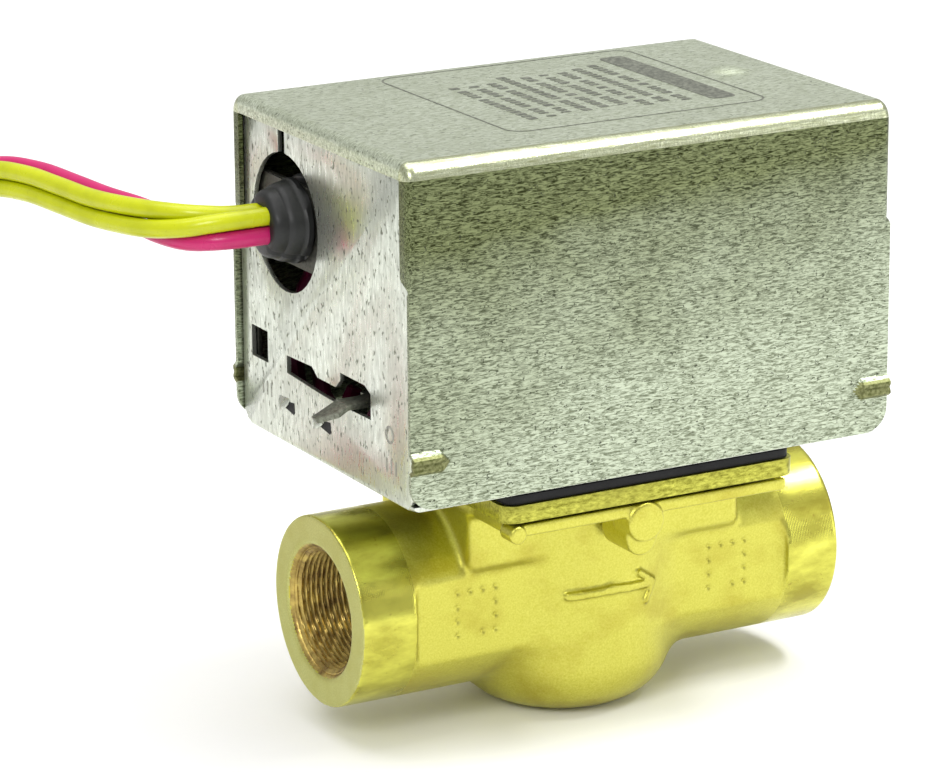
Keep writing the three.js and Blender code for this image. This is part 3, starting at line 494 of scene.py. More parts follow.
def copper():
    """Enamelled copper: warm, with fine parallel windings."""
    s = Shader("copper", (0.55, 0.22, 0.09), 1.0, 0.3)
    windings = s.wave("Z", 0.28, 0.4)
    tone = s.noise(3.0, (1, 1, 0.4), detail=3)
    s.colour(s.tones(tone, 0.3, 0.7, (0.38, 0.13, 0.05), (0.68, 0.30, 0.13)))
    s.gloss(tone, 0.24, 0.4)
    s.bump(windings, 0.08, 0.8)
    return s.material


def label_ink():
    """Dark print on the zinc, worn thin in places."""
    s = Shader("label_ink", (0.14, 0.15, 0.12), 0.3, 0.5)
    worn = s.noise(0.6, detail=4, rough=0.7)
    s.colour(s.tones(worn, 0.42, 0.62, (0.07, 0.075, 0.055), (0.20, 0.21, 0.165)))
    s.gloss(worn, 0.4, 0.6)
    s.bump(worn, 0.01, 0.3)
    return s.material


def floor_white():
    """The floor's even white."""
    s = Shader("floor_white", (0.93, 0.93, 0.93), 0.0, 0.85)
    grain = s.noise(2.0, detail=2)
    s.colour(s.blend(grain, (0.925, 0.925, 0.925), (0.935, 0.935, 0.935)))
    return s.material


MATERIAL = {
    "cover_zinc": cover_zinc(),
    "top_zinc_painted_light": top_zinc_painted_light(),
    "bend_zinc_painted_highlight": bend_zinc_painted_highlight(),
    "frame_zinc": frame_zinc(),
    # A darker zinc on the cover's ridges: painted shade.
    "ridge_zinc_painted_shade": dark_zinc("ridge_zinc_painted_shade", (0.10, 0.11, 0.035), (0.27, 0.28, 0.13)),
    "mark_zinc": dark_zinc("mark_zinc", (0.22, 0.23, 0.19), (0.42, 0.43, 0.38)),
    "lever_zinc": dark_zinc("lever_zinc", (0.12, 0.125, 0.095), (0.24, 0.25, 0.20)),
    # The lead bracket inside is painted near black: painted shade, as it sits in the dark behind the
    # end plate's window.
    "bracket_zinc": dark_zinc("bracket_zinc", (0.045, 0.045, 0.035), (0.10, 0.10, 0.08)),
    "cast_brass": cast_brass(),
    "turned_brass": turned_brass(),
    "faced_brass": faced_brass(),
    "thread_brass": thread_brass(),
    "plate_brass": plate_brass(),
    "steel": plain_steel(),
    "rubber": moulded("black_rubber", (0.005, 0.005, 0.006), (0.012, 0.012, 0.013), 0.6,
                      Specular_IOR_Level=0.3),
    "black": moulded("black_plastic", (0.006, 0.0065, 0.006), (0.016, 0.017, 0.016), 0.42,
                     Specular_IOR_Level=0.4),
    "nylon": moulded("white_nylon", (0.62, 0.58, 0.46), (0.74, 0.71, 0.60), 0.42,
                     Subsurface_Weight=0.15, Subsurface_Scale=0.002),
    "copper": copper(),
    "yellow": insulation("yellow_insulation", (0.30, 0.33, 0.0), (0.50, 0.54, 0.002)),
    "red": insulation("red_insulation", (0.34, 0.004, 0.07), (0.52, 0.012, 0.13)),
    # The inner red lead's darker red is painted shade, for its place inside the head.
    "red_inside": insulation("red_inside", (0.05, 0.001, 0.012), (0.11, 0.003, 0.03)),
    "ink": label_ink(),
    "floor": floor_white(),
}


# --- mesh tools ---


def make_object(name, points, faces, materials, smooth_angle=35):
    """A mesh from points in millimetres, smooth except where it turns sharply."""
    mesh = bpy.data.meshes.new(name)
    mesh.from_pydata([tuple(c * MM for c in p) for p in points], [], faces)
    mesh.validate()
    for material in materials:
        mesh.materials.append(material)
    soften(mesh, smooth_angle)
    return placed(name, mesh)


def soften(mesh, degrees):
    mesh.shade_smooth()
    mesh.set_sharp_from_angle(angle=math.radians(degrees))


def apply_modifiers(made):
    """Replaces the object's mesh with its evaluated one."""
    graph = bpy.context.evaluated_depsgraph_get()
    mesh = bpy.data.meshes.new_from_object(made.evaluated_get(graph))
    made.modifiers.clear()
    made.data = mesh


def bevel(made, width, degrees):
    """Rounds the edges that turn by more than the given angle."""
    rounded = made.modifiers.new("bevel", "BEVEL")
    rounded.width = width * MM
    rounded.segments = 2
    rounded.limit_method = "ANGLE"
    rounded.angle_limit = math.radians(degrees)
    rounded.use_clamp_overlap = True
    apply_modifiers(made)
    soften(made.data, 35)


def thicken(made, thickness, offset):
    """Gives a surface its thickness: all inwards at -1, half each way at 0."""
    sheet = made.modifiers.new("sheet", "SOLIDIFY")
    sheet.thickness = thickness * MM
    sheet.offset = offset
    apply_modifiers(made)


def add_piece(made, body, slot, *nodes):
    """Puts a finished piece on its body and hides the CAD nodes it stands for."""
    if nodes:
        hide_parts(*nodes)
    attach(made, body)


def grid_faces(rows, columns, closed_rows=False, closed_columns=False):
    """The four-sided faces between rows of points."""
    faces = []
    for i in range(rows if closed_rows else rows - 1):
        for j in range(columns if closed_columns else columns - 1):
            a = i * columns + j
            b = i * columns + (j + 1) % columns
            c = ((i + 1) % rows) * columns + (j + 1) % columns
            d = ((i + 1) % rows) * columns + j
            faces.append((a, b, c, d))
    return faces


def capped_rows(name, points, rows, sides, material, smooth_angle):
    """A bar from rows of points round it, closed at both ends."""
    last = (rows - 1) * sides
    faces = grid_faces(rows, sides, closed_columns=True)
    faces.append(tuple(range(sides))[::-1])
    faces.append(tuple(last + k for k in range(sides)))
    made = make_object(name, points, faces, [material], smooth_angle)
    fix_normals(made)
    return made


def fix_normals(made):
    """Turns every face outwards."""
    work = bmesh.new()
    work.from_mesh(made.data)
    bmesh.ops.recalc_face_normals(work, faces=work.faces)
    work.to_mesh(made.data)
    work.free()


def circle(radius, sides):
    turns = [2 * math.pi * k / sides for k in range(sides)]
    return [(radius * math.cos(a), radius * math.sin(a)) for a in turns]


def tube(name, path, radius, material, sides):
    """A round bar along a list of points, with its ends closed."""
    line = np.array(path, float)
    along = np.gradient(line, axis=0)
    along /= np.linalg.norm(along, axis=1)[:, None]
    normal = np.cross(along[0], (0.0, 0.0, 1.0))
    if np.linalg.norm(normal) < 0.1:
        normal = np.array((1.0, 0.0, 0.0))
    points = []
    for place, direction in zip(line, along):
        normal = normal - direction * np.dot(normal, direction)
        normal /= np.linalg.norm(normal)
        side = np.cross(direction, normal)
        points += [tuple(place + radius * (u * normal + v * side)) for u, v in circle(1, sides)]
    return capped_rows(name, points, len(line), sides, material, 60)


def joined(name, parts):
    """Several mesh objects as one."""
    work = bmesh.new()
    materials = []
    for part in parts:
        before = len(work.faces)
        work.from_mesh(part.data)
        work.faces.ensure_lookup_table()
        for face in work.faces[before:]:
            material = part.data.materials[face.material_index]
            if material not in materials:
                materials.append(material)
            face.material_index = materials.index(material)
    mesh = bpy.data.meshes.new(name)
    work.to_mesh(mesh)
    work.free()
    for material in materials:
        mesh.materials.append(material)
    for part in parts:
        bpy.data.objects.remove(part)
    return placed(name, mesh)


def rounded_outline(x0, x1, y0, y1, r, steps):
    """A rounded rectangle's corner points, counter-clockwise."""
    corners = ((x1 - r, y1 - r, 0), (x0 + r, y1 - r, 90), (x0 + r, y0 + r, 180), (x1 - r, y0 + r, 270))
    points = []
    for cx, cy, start in corners:
        for k in range(steps + 1):
            a = math.radians(start + 90 * k / steps)
            points.append((cx + r * math.cos(a), cy + r * math.sin(a)))
    return points


def slab(name, outline, z0, z1, material):
    """A flat plate with the given outline in X and Y."""
    n = len(outline)
    points = [(x, y, z0) for x, y in outline] + [(x, y, z1) for x, y in outline]
    faces = [tuple(range(n))[::-1], tuple(range(n, 2 * n))]
    faces += [(k, (k + 1) % n, n + (k + 1) % n, n + k) for k in range(n)]
    return make_object(name, points, faces, [material])


def flat_ring(name, outer, inner, z0, z1, material):
    """A flat ring between two outlines with the same number of points."""
    levels = ((outer, z0), (inner, z0), (inner, z1), (outer, z1))
    points = [(x, y, z) for outline, z in levels for x, y in outline]
    faces = grid_faces(4, len(outer), closed_rows=True, closed_columns=True)
    return make_object(name, points, faces, [material])


# --- brass body ---

VOXEL = 0.31


class Field:
    """Distances on a grid of points, from which the cast shape is made."""

    def __init__(self, low, high, step):
        self.low = np.array(low, float)
        self.step = step
        count = np.ceil((np.array(high) - self.low) / step).astype(int) + 1
        axes = [self.low[i] + step * np.arange(count[i]) for i in range(3)]
        self.x = axes[0].astype(np.float32)[:, None, None]
        self.y = axes[1].astype(np.float32)[None, :, None]
        self.z = axes[2].astype(np.float32)[None, None, :]

    def rounded(self, gaps, r):
        """Distance to a shape from its gap in each direction, with its edges rounded by r."""
        outside = np.sqrt(sum(np.maximum(gap, 0) ** 2 for gap in gaps))
        deepest = gaps[0]
        for gap in gaps[1:]:
            deepest = np.maximum(deepest, gap)
        return outside + np.minimum(deepest, 0) - r

    def box(self, x0, x1, y0, y1, z0, z1, r=0.0):
        spans = ((self.x, x0, x1), (self.y, y0, y1), (self.z, z0, z1))
        return self.rounded([abs(v - (a + b) / 2) - (b - a) / 2 + r for v, a, b in spans], r)

    def round_bar(self, axis, a, b, radius, low, high, r=0.0):
        """A bar along an axis; a and b are its centre on the two other axes, in order."""
        u, v, w = {
            "x": (self.y, self.z, self.x),
            "y": (self.x, self.z, self.y),
            "z": (self.x, self.y, self.z),
        }[axis]
        radial = np.sqrt((u - a) ** 2 + (v - b) ** 2) - radius + r
        axial = abs(w - (low + high) / 2) - (high - low) / 2 + r
        return self.rounded([radial, axial], r)

    def cone_x(self, x0, x1, r0, r1):
        """A cone about the pipe's axis, from radius r0 at x0 to r1 at x1."""
        radius = r0 + (r1 - r0) * (self.x - x0) / (x1 - x0)
        radial = np.sqrt(self.y**2 + (self.z - PIPE_Z) ** 2) - radius
        slope = math.cos(math.atan2(abs(r1 - r0), abs(x1 - x0)))
        return np.maximum(radial * slope, abs(self.x - (x0 + x1) / 2) - abs(x1 - x0) / 2)

    def globe(self):
        """The round bowl under the neck, with its bottom edge well rounded."""
        across = np.sqrt(self.x**2 + self.y**2) - (GLOBE_R - GLOBE_FILLET)
        below = GLOBE_FILLET - self.z
        return np.maximum(self.rounded([across, below], GLOBE_FILLET), self.z - FLANGE_Z0)

    def stroke(self, start, end, radius):
        """A round-ended stroke in X and Z that runs right through in Y."""
        px, pz = self.x - start[0], self.z - start[1]
        dx, dz = end[0] - start[0], end[1] - start[1]
        t = np.clip((px * dx + pz * dz) / (dx * dx + dz * dz), 0, 1)
        return np.sqrt((px - t * dx) ** 2 + (pz - t * dz) ** 2) - radius + 0 * self.y

    def ball(self, cx, cy, cz, radius):
        return np.sqrt((self.x - cx) ** 2 + (self.y - cy) ** 2 + (self.z - cz) ** 2) - radius


def melt(a, b, k):
    """Union with a fillet of about k."""
    h = np.clip(0.5 + 0.5 * (b - a) / k, 0, 1)
    return b * (1 - h) + a * h - k * h * (1 - h)


def carve(a, b, k=0.01):
    """a less b, with the new edge rounded by about k."""
    return -melt(-a, b, k)


def dot_places():
    """The little square of punched dots on the left wrench flat, as (x, z)."""
    missing = (1, 0)
    places = []
    for i in range(4):
        for j in range(4):
            if (i in (0, 3) or j in (0, 3)) and (i, j) != missing:
                places.append((DOTS_START[0] + DOTS_STEP[0] * i, DOTS_START[1] + DOTS_STEP[1] * j))
    return places


def cast_lugs(f, shape):
    """The lug under the front of the flange, with its round boss, and the stub at its left end."""
    lug = f.box(-3.9, 1.5, -28.2, -20, 33.7, 39, 0.6)
    lug = melt(lug, f.round_bar("y", LUG_X, 33.7, 2.7, -28.2, -20, 0.5), 0.8)
    shape = melt(shape, lug, 1.4)
    shape = melt(shape, f.round_bar("y", LUG_X, 36.9, 3.2, -29.5, -24, 0.35), 0.5)
    return melt(shape, f.round_bar("y", -24.6, 38.6, 1.45, -29.8, -26, 0.25), 0.4)


def cast_arrow(f, globe):
    """The raised flow arrow on the front of the globe."""
    tip = (7.6, 22.1)
    arrow = f.stroke((-8.1, 21.9), (-1.0, 22.5), 0.62)
    arrow = melt(arrow, f.stroke((-1.0, 22.5), (7.4, 22.0), 0.62), 0.6)
    for barb in ((4.4, 24.3), (6.0, 19.2)):
        arrow = np.minimum(arrow, f.stroke(tip, barb, 0.5))
    raised = np.maximum(arrow, abs(globe + 0.1) - 0.75)
    return np.maximum(raised, f.y + 10)


def waterways(f, shape):
    """The chamber, the seat on the inlet side, the two ports and the passages between them."""
    chamber = np.minimum(
        f.round_bar("z", 0, 0, CHAMBER_R, 5.5, 36, 1.5),
        f.round_bar("z", 0, 0, 12.6, 30, 44),
    )
    shape = carve(shape, chamber, 0.3)
    shape = np.minimum(shape, f.round_bar("x", 0, PIPE_Z, 9, -16.4, -9.3, 0.4))
    for side in (-1, 1):
        low, high = sorted((side * (PORT_X - THREAD_DEPTH), side * (PORT_X + 2)))
        shape = carve(shape, f.round_bar("x", 0, PIPE_Z, THREAD_R + 0.6, low, high), 0.2)
        mouth = f.cone_x(side * (PORT_X + 1), side * (PORT_X - 2.4), MOUTH_R + 1.1, 8.6)
        shape = carve(shape, mouth, 0.25)
    shape = carve(shape, f.round_bar("x", 0, PIPE_Z, SEAT_R, -34, -8.3), 0.3)
    shape = carve(shape, f.round_bar("x", 0, PIPE_Z, WATERWAY_R, -36, -20), 0.3)
    return carve(shape, f.round_bar("x", 0, PIPE_Z, WATERWAY_R, 8, 36), 0.3)


def body_field():
    """The whole casting: collars with flats, globe, neck, flange, lugs, arrow, dots and bores."""
    f = Field((-46.5, -31.5, -1.5), (46.5, 31.5, 42), VOXEL)
    collars = f.round_bar("x", 0, PIPE_Z, COLLAR_R, BODY_LOW.x, PORT_X, 0.45)
    for side in (-1, 1):
        y0, y1 = sorted((side * FLAT_Y, side * (FLAT_Y + 8)))
        collars = carve(collars, f.box(-FLAT_X, FLAT_X, y0, y1, 3, 38, 1.2), 0.3)
    globe = f.globe()
    shape = melt(collars, globe, 3.2)
    neck = f.box(-NECK_X, NECK_X, -NECK_Y, NECK_Y, PIPE_Z + 7.4, 40, 1.6)
    shape = melt(shape, neck, 1.7)
    flange = f.box(-FLANGE_X, FLANGE_X, -FLANGE_Y, FLANGE_Y, FLANGE_Z0, FLANGE_Z1 - 0.5, 0.35)
    shape = cast_lugs(f, melt(shape, flange, 1.8))
    shape = melt(shape, cast_arrow(f, globe), 0.6)
    shape = np.maximum(shape, f.z - FLANGE_Z1)
    for x, z in dot_places():
        for shift in (0, DOTS_APART):
            shape = carve(shape, f.ball(x + shift, -FLAT_Y - 0.1, z, DOT_R), 0.06)
    return f, waterways(f, shape)


def brass_body():
    """The casting, with its collars turned and its ends faced."""
    f, shape = body_field()
    grid = openvdb.FloatGrid()
    grid.background = 3.0
    grid.copyFromArray(np.ascontiguousarray(np.clip(shape / VOXEL, -3, 3).astype(np.float32)))
    points, quads = grid.convertToQuads(0.0)
    places = points * VOXEL + f.low
    mesh = bpy.data.meshes.new("valve_body_casting")
    mesh.from_pydata((places * MM).tolist(), [], quads[:, ::-1].tolist())
    mesh.validate()
    for name in ("cast_brass", "turned_brass", "faced_brass", "thread_brass"):
        mesh.materials.append(MATERIAL[name])
    middles = places[quads].mean(axis=1)
    across = np.hypot(middles[:, 1], middles[:, 2] - PIPE_Z)
    far = abs(middles[:, 0])
    kinds = np.zeros(len(quads), int)  # cast, unless it is turned, faced or inside a port
    kinds[(far > FLAT_X + 0.2) & (across > 13)] = 1
    kinds[(far > PORT_X - 0.25) & (across < COLLAR_R - 0.2)] = 2
    kinds[(far < PORT_X - 0.3) & (across < 12.2) & (far > 8)] = 3
    mesh.polygons.foreach_set("material_index", kinds.astype(np.int32))
    soften(mesh, 60)
    made = placed("valve_body_casting", mesh)
    fix_normals(made)
    add_piece(made, "valve", "cast_brass", "valve_body")


def thread_sleeve(name, side):
    """The cut pipe thread: a fine V-shaped helix that tapers slightly into the port."""
    around, along = 96, 128
    depth = THREAD_DEPTH - 0.7
    start = 0.9
    points = []
    for i in range(along + 1):
        s = start + (depth - start) * i / along
        x = side * (PORT_X - s)
        taper = (s - depth / 2) / 32
        for k in range(around):
            angle = 2 * math.pi * k / around
            turn = THREAD_LINES * (s / THREAD_PITCH - side * angle / (2 * math.pi)) % 1.0
            crest = abs(2 * turn - 1)
            radius = THREAD_R + 0.28 - taper - 0.6 * crest
            if s < 2.2:
                radius = max(radius, MOUTH_R - s * (MOUTH_R - THREAD_R) / MOUTH_DEPTH)
            points.append((x, radius * math.cos(angle), PIPE_Z + radius * math.sin(angle)))
    rows = along + 1
    outer = THREAD_R + 0.95
    for s, radius in ((depth, outer), (start, max(outer, MOUTH_R - 0.5))):
        points += [(side * (PORT_X - s), y, PIPE_Z + z) for y, z in circle(radius, around)]
    faces = grid_faces(rows + 2, around, closed_rows=True, closed_columns=True)
    made = make_object(name, points, faces, [MATERIAL["thread_brass"]], 40)
    fix_normals(made)
    add_piece(made, "valve", "cast_brass")


# --- cover ---


def cover_rows():
    """The cover's cross-section: (y, z, outward y, outward z, height on a side or None)."""
    spring = COVER_TOP - COVER_BEND
    lip_z = COVER_TOP - LIP_DROP
    spans = (
        (COVER_BOTTOM, COVER_BOTTOM + 4.2, 0.35),
        (RIDGE_Z - 3.2, RIDGE_Z - 1.4, 0.5),
        (RIDGE_Z - 1.4, RIDGE_Z + 1.41, 0.2),
        (RIDGE_Z + 2, lip_z - 1.5, 1.3),
        (lip_z - 1.5, lip_z + 1.6, 0.25),
        (lip_z + 2.4, spring - 0.4, 1.1),
        (spring, spring + 0.1, 1.0),
    )
    heights = sorted({round(float(h), 3) for span in spans for h in np.arange(*span)})
    rows = [(-COVER_Y, z, -1.0, 0.0) for z in heights]
    for k in range(1, 12):
        a = math.radians(90 * k / 12)
        rows.append((-COVER_Y + COVER_BEND - COVER_BEND * math.cos(a),
                     spring + COVER_BEND * math.sin(a), -math.cos(a), math.sin(a)))
    flat = COVER_Y - COVER_BEND
    rows += [(float(y), COVER_TOP, 0.0, 1.0) for y in np.arange(-flat, flat + 0.01, flat / 44)]
    return rows + [(-y, z, -ny, nz) for y, z, ny, nz in rows[: len(heights) + 11][::-1]]


def cover_columns():
    """Places across the cover: x, and for the ends how far into the lip (0 to 1)."""
    start = COVER_X - LIP_BEND
    inner = list(np.arange(-36, 27, 1.25)) + list(np.arange(27.5, 36.4, 0.5))
    edge = [float(v) for v in np.arange(36.6, start, 0.35)]
    middle = [-v for v in edge[::-1]] + [float(v) for v in inner] + edge
    ends = [k / 10 for k in range(1, 11)]
    columns = [(-start, u) for u in ends[::-1]] + [(-start, 0.0)]
    columns += [(v, 0.0) for v in middle] + [(start, 0.0)] + [(start, u) for u in ends]
    return columns


def smoothstep(value):
    """Eases from 0 to 1."""
    value = min(max(value, 0.0), 1.0)
    return value * value * (3 - 2 * value)


def cover_relief(x, y, z, upward):
    """How far the sheet is pressed out: the four retention ridges and the dome on top."""
    if upward > 0.9:
        away = math.hypot(x - DOME_X, y - DOME_Y) / DOME_R
        return DOME_RISE * (1 - away * away) if away < 1 else 0.0
    if upward > 0.01:
        return 0.0
    inner_end = COVER_X - RIDGE_LENGTH
    across = abs(z - RIDGE_Z) / RIDGE_R
    ahead = min(max((abs(x) - inner_end) / 1.6, 0.0), 1.0)
    if across >= ahead or ahead == 0:
        return 0.0
    crown = min(1.0, 2.4 * (1 - across / ahead)) ** 0.6
    groove = 0.3 * math.exp(-((across / 0.22) ** 2))
    return RIDGE_RISE * (crown - groove) * ahead**0.5


def cover_point(row, column):
    """One point of the cover, with its rounded lower corners, end lips and relief."""
    y, z, ny, nz = row
    x, u = column
    side = -1 if x < 0 else 1
    lipped = smoothstep((z - (COVER_TOP - LIP_DROP) + 1.1) / 2.2)
    reach = COVER_X
    drop = z - COVER_BOTTOM
    if drop < COVER_CORNER and nz == 0:
        reach -= COVER_CORNER - math.sqrt(COVER_CORNER**2 - (COVER_CORNER - drop) ** 2)
    start = COVER_X - LIP_BEND
    flat_x = start + LIP_BEND * u if u else abs(x)
    if flat_x > 36:
        flat_x = 36 + (flat_x - 36) * (reach - 36) / (COVER_X - 36)
    inward = 0.0
    lip_x = flat_x
    if u:
        bend = math.pi / 2 * min(u / 0.6, 1)
        lip_x = start + LIP_BEND * math.sin(bend)
        inward = LIP_BEND * (1 - math.cos(bend))
        inward += (LIP - LIP_BEND) * max(u - 0.6, 0) / 0.4
    place_x = lip_x * lipped + flat_x * (1 - lipped)
    inward *= lipped
    out = cover_relief(side * place_x, y, z, nz) - inward
    return (side * place_x, y + ny * out, z + nz * out)


def cover_shell():
    """One sheet folded into a channel, with a lip turned in round the top of each end."""
    rows = cover_rows()
    columns = cover_columns()
    points = [cover_point(row, column) for row in rows for column in columns]
    faces = grid_faces(len(rows), len(columns))
    zincs = [MATERIAL[name] for name in ("cover_zinc", "top_zinc_painted_light", "bend_zinc_painted_highlight", "ridge_zinc_painted_shade")]
    made = make_object("cover_shell", points, faces, zincs)
    columns_inside = len(columns) - 1
    for index, face in enumerate(made.data.polygons):
        lean = abs(rows[index // columns_inside][3])
        # The top and the folds take the paler copies of the zinc, whose colour is painted light; the
        # front and back take the sheet with its painted reflection.
        face.material_index = 0 if lean < 0.01 else 1 if lean > 0.99 else 2
        x, _, z = face.center / MM
        # Faces on the pressed-out ridges take a darker zinc, painted shade that tones down their lit
        # slopes.
        if lean < 0.01 and cover_relief(x, 0, z, 0) > 0.1:
            face.material_index = 3
    middle = made.data.polygons[len(made.data.polygons) // 2]
    if middle.normal.z < 0:
        made.data.flip_normals()
    thicken(made, SHEET - 0.05, -1)
    bevel(made, 0.12, 60)
    add_piece(made, "cover", "galvanised_sheet", "cover")


def label_print():
    """A plain printed frame on the top, with a solid bar and rows of dashes."""
    dice = random.Random(4)
    top = COVER_TOP + 0.01
    high = top + 0.03
    parts = []

    def strip(x0, x1, y0, y1, r):
        outline = rounded_outline(x0, x1, y0, y1, r, 4)
        parts.append(slab("ink", outline, top, high, MATERIAL["ink"]))

    strip(19.8, 24.6, -14.5, 21.5, 1.4)
    for k in range(9):
        x = 16.2 - 3.5 * k
        y = -13.5 + dice.random() * 3
        end = 17.0 - dice.random() * 5
        while y < end:
            length = 0.7 + dice.random() * 0.9
            strip(x - 0.85, x + 0.85, y, y + length, 0.3)
            y += length + (0.45 if dice.random() < 0.8 else 1.5)
    outer = rounded_outline(-19.5, 27.8, -19.4, 26.0, 3.2, 8)
    inner = rounded_outline(-19.15, 27.45, -19.05, 25.65, 2.85, 8)
    parts.append(flat_ring("ink", outer, inner, top, high, MATERIAL["ink"]))
    made = joined("label_print", parts)
    fix_normals(made)
    add_piece(made, "cover", "galvanised_sheet")


# --- carried-over CAD nodes ---


def clean_copy(node, name, material, edge, widen=None):
    """A node's shape again, with flat faces merged and its edges rounded.

    The edges that widen picks are rounded more, like a fold in sheet.
    """
    mesh = frame["nodes"][node].data.copy()
    mesh.name = name
    made = placed(name, mesh)
    work = bmesh.new()
    work.from_mesh(mesh)
    bmesh.ops.remove_doubles(work, verts=work.verts, dist=1e-6)
    bmesh.ops.dissolve_limit(work, angle_limit=math.radians(1.5), verts=work.verts, edges=work.edges)
    if widen is not None:
        chosen = [e for e in work.edges if widen(*(v.co / MM for v in e.verts))]
        bmesh.ops.bevel(work, geom=chosen, offset=1.1 * MM, segments=5, profile=0.5, affect="EDGES")
    work.to_mesh(mesh)
    work.free()
    mesh.materials.clear()
    mesh.materials.append(material)
    bevel(made, edge, 35)
    return made


def frame_bends(a, b):
    """The two folds of the base frame, where its floor turns up into its ends."""
    level = abs(a.z - b.z) < 0.01 and min(a.z, b.z) < FRAME_LOW.z + 0.05
    return level and a.x * b.x > 42.3**2 and abs(a.y - b.y) > 1


def base_frame():
    """The U-shaped frame, with its pips and struck marks."""
    made = clean_copy("base_frame", "base_frame_sheet", MATERIAL["frame_zinc"], 0.12, frame_bends)
    add_piece(made, "valve", "galvanised_sheet", "base_frame")
    for k, (y, width) in enumerate(PIPS):
        half_shear(f"frame_pip_{k + 1}", y, PIP_Z, width)
    marks()


def stand_on_end(made, x, y, z):
    """Moves something drawn flat at the origin to a place on the end plate's outer face."""
    turn = Matrix(((0, 0, -1, 0), (-1, 0, 0, 0), (0, 1, 0, 0), (0, 0, 0, 1)))
    made.data.transform(Matrix.Translation(Vector((x, y, z)) * MM) @ turn)


def half_shear(name, y, z, width):
    """A pierced pip: a shallow hood pressed out of the end plate, open on one side."""
    rows, columns = 9, 15
    points = []
    for i in range(rows):
        u = i / (rows - 1)
        for j in range(columns):
            v = j / (columns - 1)
            across = math.sin(math.pi * v)
            out = 0.95 * across * math.sin(math.pi / 2 * u) ** 0.8
            place_y = y - width * 0.15 + width * 0.65 * v
            place_z = z + 1.0 - 2.0 * u * across**0.5 - 0.25 * v
            points.append((END_FACE_X + 0.1 - out, place_y, place_z))
    made = make_object(name, points, grid_faces(rows, columns), [MATERIAL["frame_zinc"]], 50)
    thicken(made, 0.25, 0)
    soften(made.data, 50)
    fix_normals(made)
    add_piece(made, "valve", "galvanised_sheet")
    # A flat black slab under the hood's open side: painted shade where the opening shows only shadow.
    outline = ((-0.1, -0.5), (0.42, -1.0), (0.48, -0.6), (0.45, 1.0), (0.15, 0.8))
    outline = [(u * width, v) for u, v in outline]
    shadow = slab(name + "_painted_shade", outline, -0.04, 0.04, MATERIAL["rubber"])
    stand_on_end(shadow, END_FACE_X - 0.01, y, z - 0.3)
    add_piece(shadow, "valve", "galvanised_sheet")


def marks():
    """Generic struck marks on the end plate: short bars, and a ring over one group of them."""
    zinc = MATERIAL["mark_zinc"]
    ring = flat_ring("mark", circle(1.45, 24), circle(1.0, 24), -0.03, 0.03, zinc)
    stand_on_end(ring, END_FACE_X, -21.5, 55.6)
    parts = [ring]
    for y, z in ((20.5, 52.6), (-22.0, 50.6)):
        for shift in (-1.5, 0, 1.5):
            outline = rounded_outline(shift - 0.22, shift + 0.22, -1.2, 1.2, 0.2, 3)
            bar = slab("mark", outline, -0.03, 0.03, zinc)
            stand_on_end(bar, END_FACE_X, y, z)
            parts.append(bar)
    made = joined("frame_marks", parts)
    fix_normals(made)
    add_piece(made, "valve", "galvanised_sheet")


# The plain steel pieces that keep their CAD shape, and how far their edges are rounded.
STEEL_EDGES = {
    "stem": 0.12, "paddle_arm": 0.2, "sector_gear": 0.1, "stem_clip": 0.08, "lever_pin": 0.15,
    "return_spring": 0.05, "spring_post": 0.15, "head_screw": 0.15, "motor_post": 0.15,
    "motor_screw": 0.15, "motor_plate": 0.15, "idler_pin": 0.1, "bearing_plate": 0.12,
    "motor_can": 0.9, "output_shaft": 0.06, "switch_screw": 0.12,
}

# Every kind of node that keeps its CAD shape: material, record slot and edge radius.
CARRIED = {name: ("steel", "plain_steel", edge) for name, edge in STEEL_EDGES.items()}
CARRIED |= {
    "valve_plate": ("plate_brass", "plate_brass", 0.3),
    "plate_screw": ("plate_brass", "plate_brass", 0.12),
    "head_gasket": ("rubber", "black_rubber", 0.25),
    "body_o_ring": ("rubber", "black_rubber", 0.05),
    "stem_o_ring": ("rubber", "black_rubber", 0.05),
    "ball_plug": ("rubber", "black_rubber", 0.1),
    "manual_lever": ("lever_zinc", "galvanised_sheet", 0.14),
    "gearbox_case": ("frame_zinc", "galvanised_sheet", 0.35),
    "switch_bracket": ("frame_zinc", "galvanised_sheet", 0.2),
    "lead_bracket": ("bracket_zinc", "galvanised_sheet", 0.15),
    "motor_coil": ("copper", "copper", 0.6),
    "switch_terminal": ("copper", "copper", 0.1),
    "idler_gear": ("nylon", "white_nylon", 0.06),
    "switch_plunger": ("nylon", "white_nylon", 0.2),
    "motor_rotor": ("black", "black_plastic", 0.08),
    "switch_body": ("black", "black_plastic", 0.3),
    "inner_lead_yellow": ("yellow", "yellow_insulation", 0.1),
    "inner_lead_red": ("red_inside", "red_insulation", 0.1),
}


def carried_nodes():
    """Every node that keeps its CAD shape, finished with rounded edges."""
    bodies = frame["record"]["behaviour"]["bodies"]
    body_of = {node: body for body, members in bodies.items() for node in members}
    for node in sorted(body_of):
        keys = [key for key in CARRIED if node.startswith(key)]
        if not keys:
            continue
        material, slot, edge = CARRIED[max(keys, key=len)]
        made = clean_copy(node, node + "_piece", MATERIAL[material], edge)
        if node.startswith("inner_lead"):
            soften(made.data, 80)
        add_piece(made, body_of[node], slot, node)


# --- strain relief and leads ---


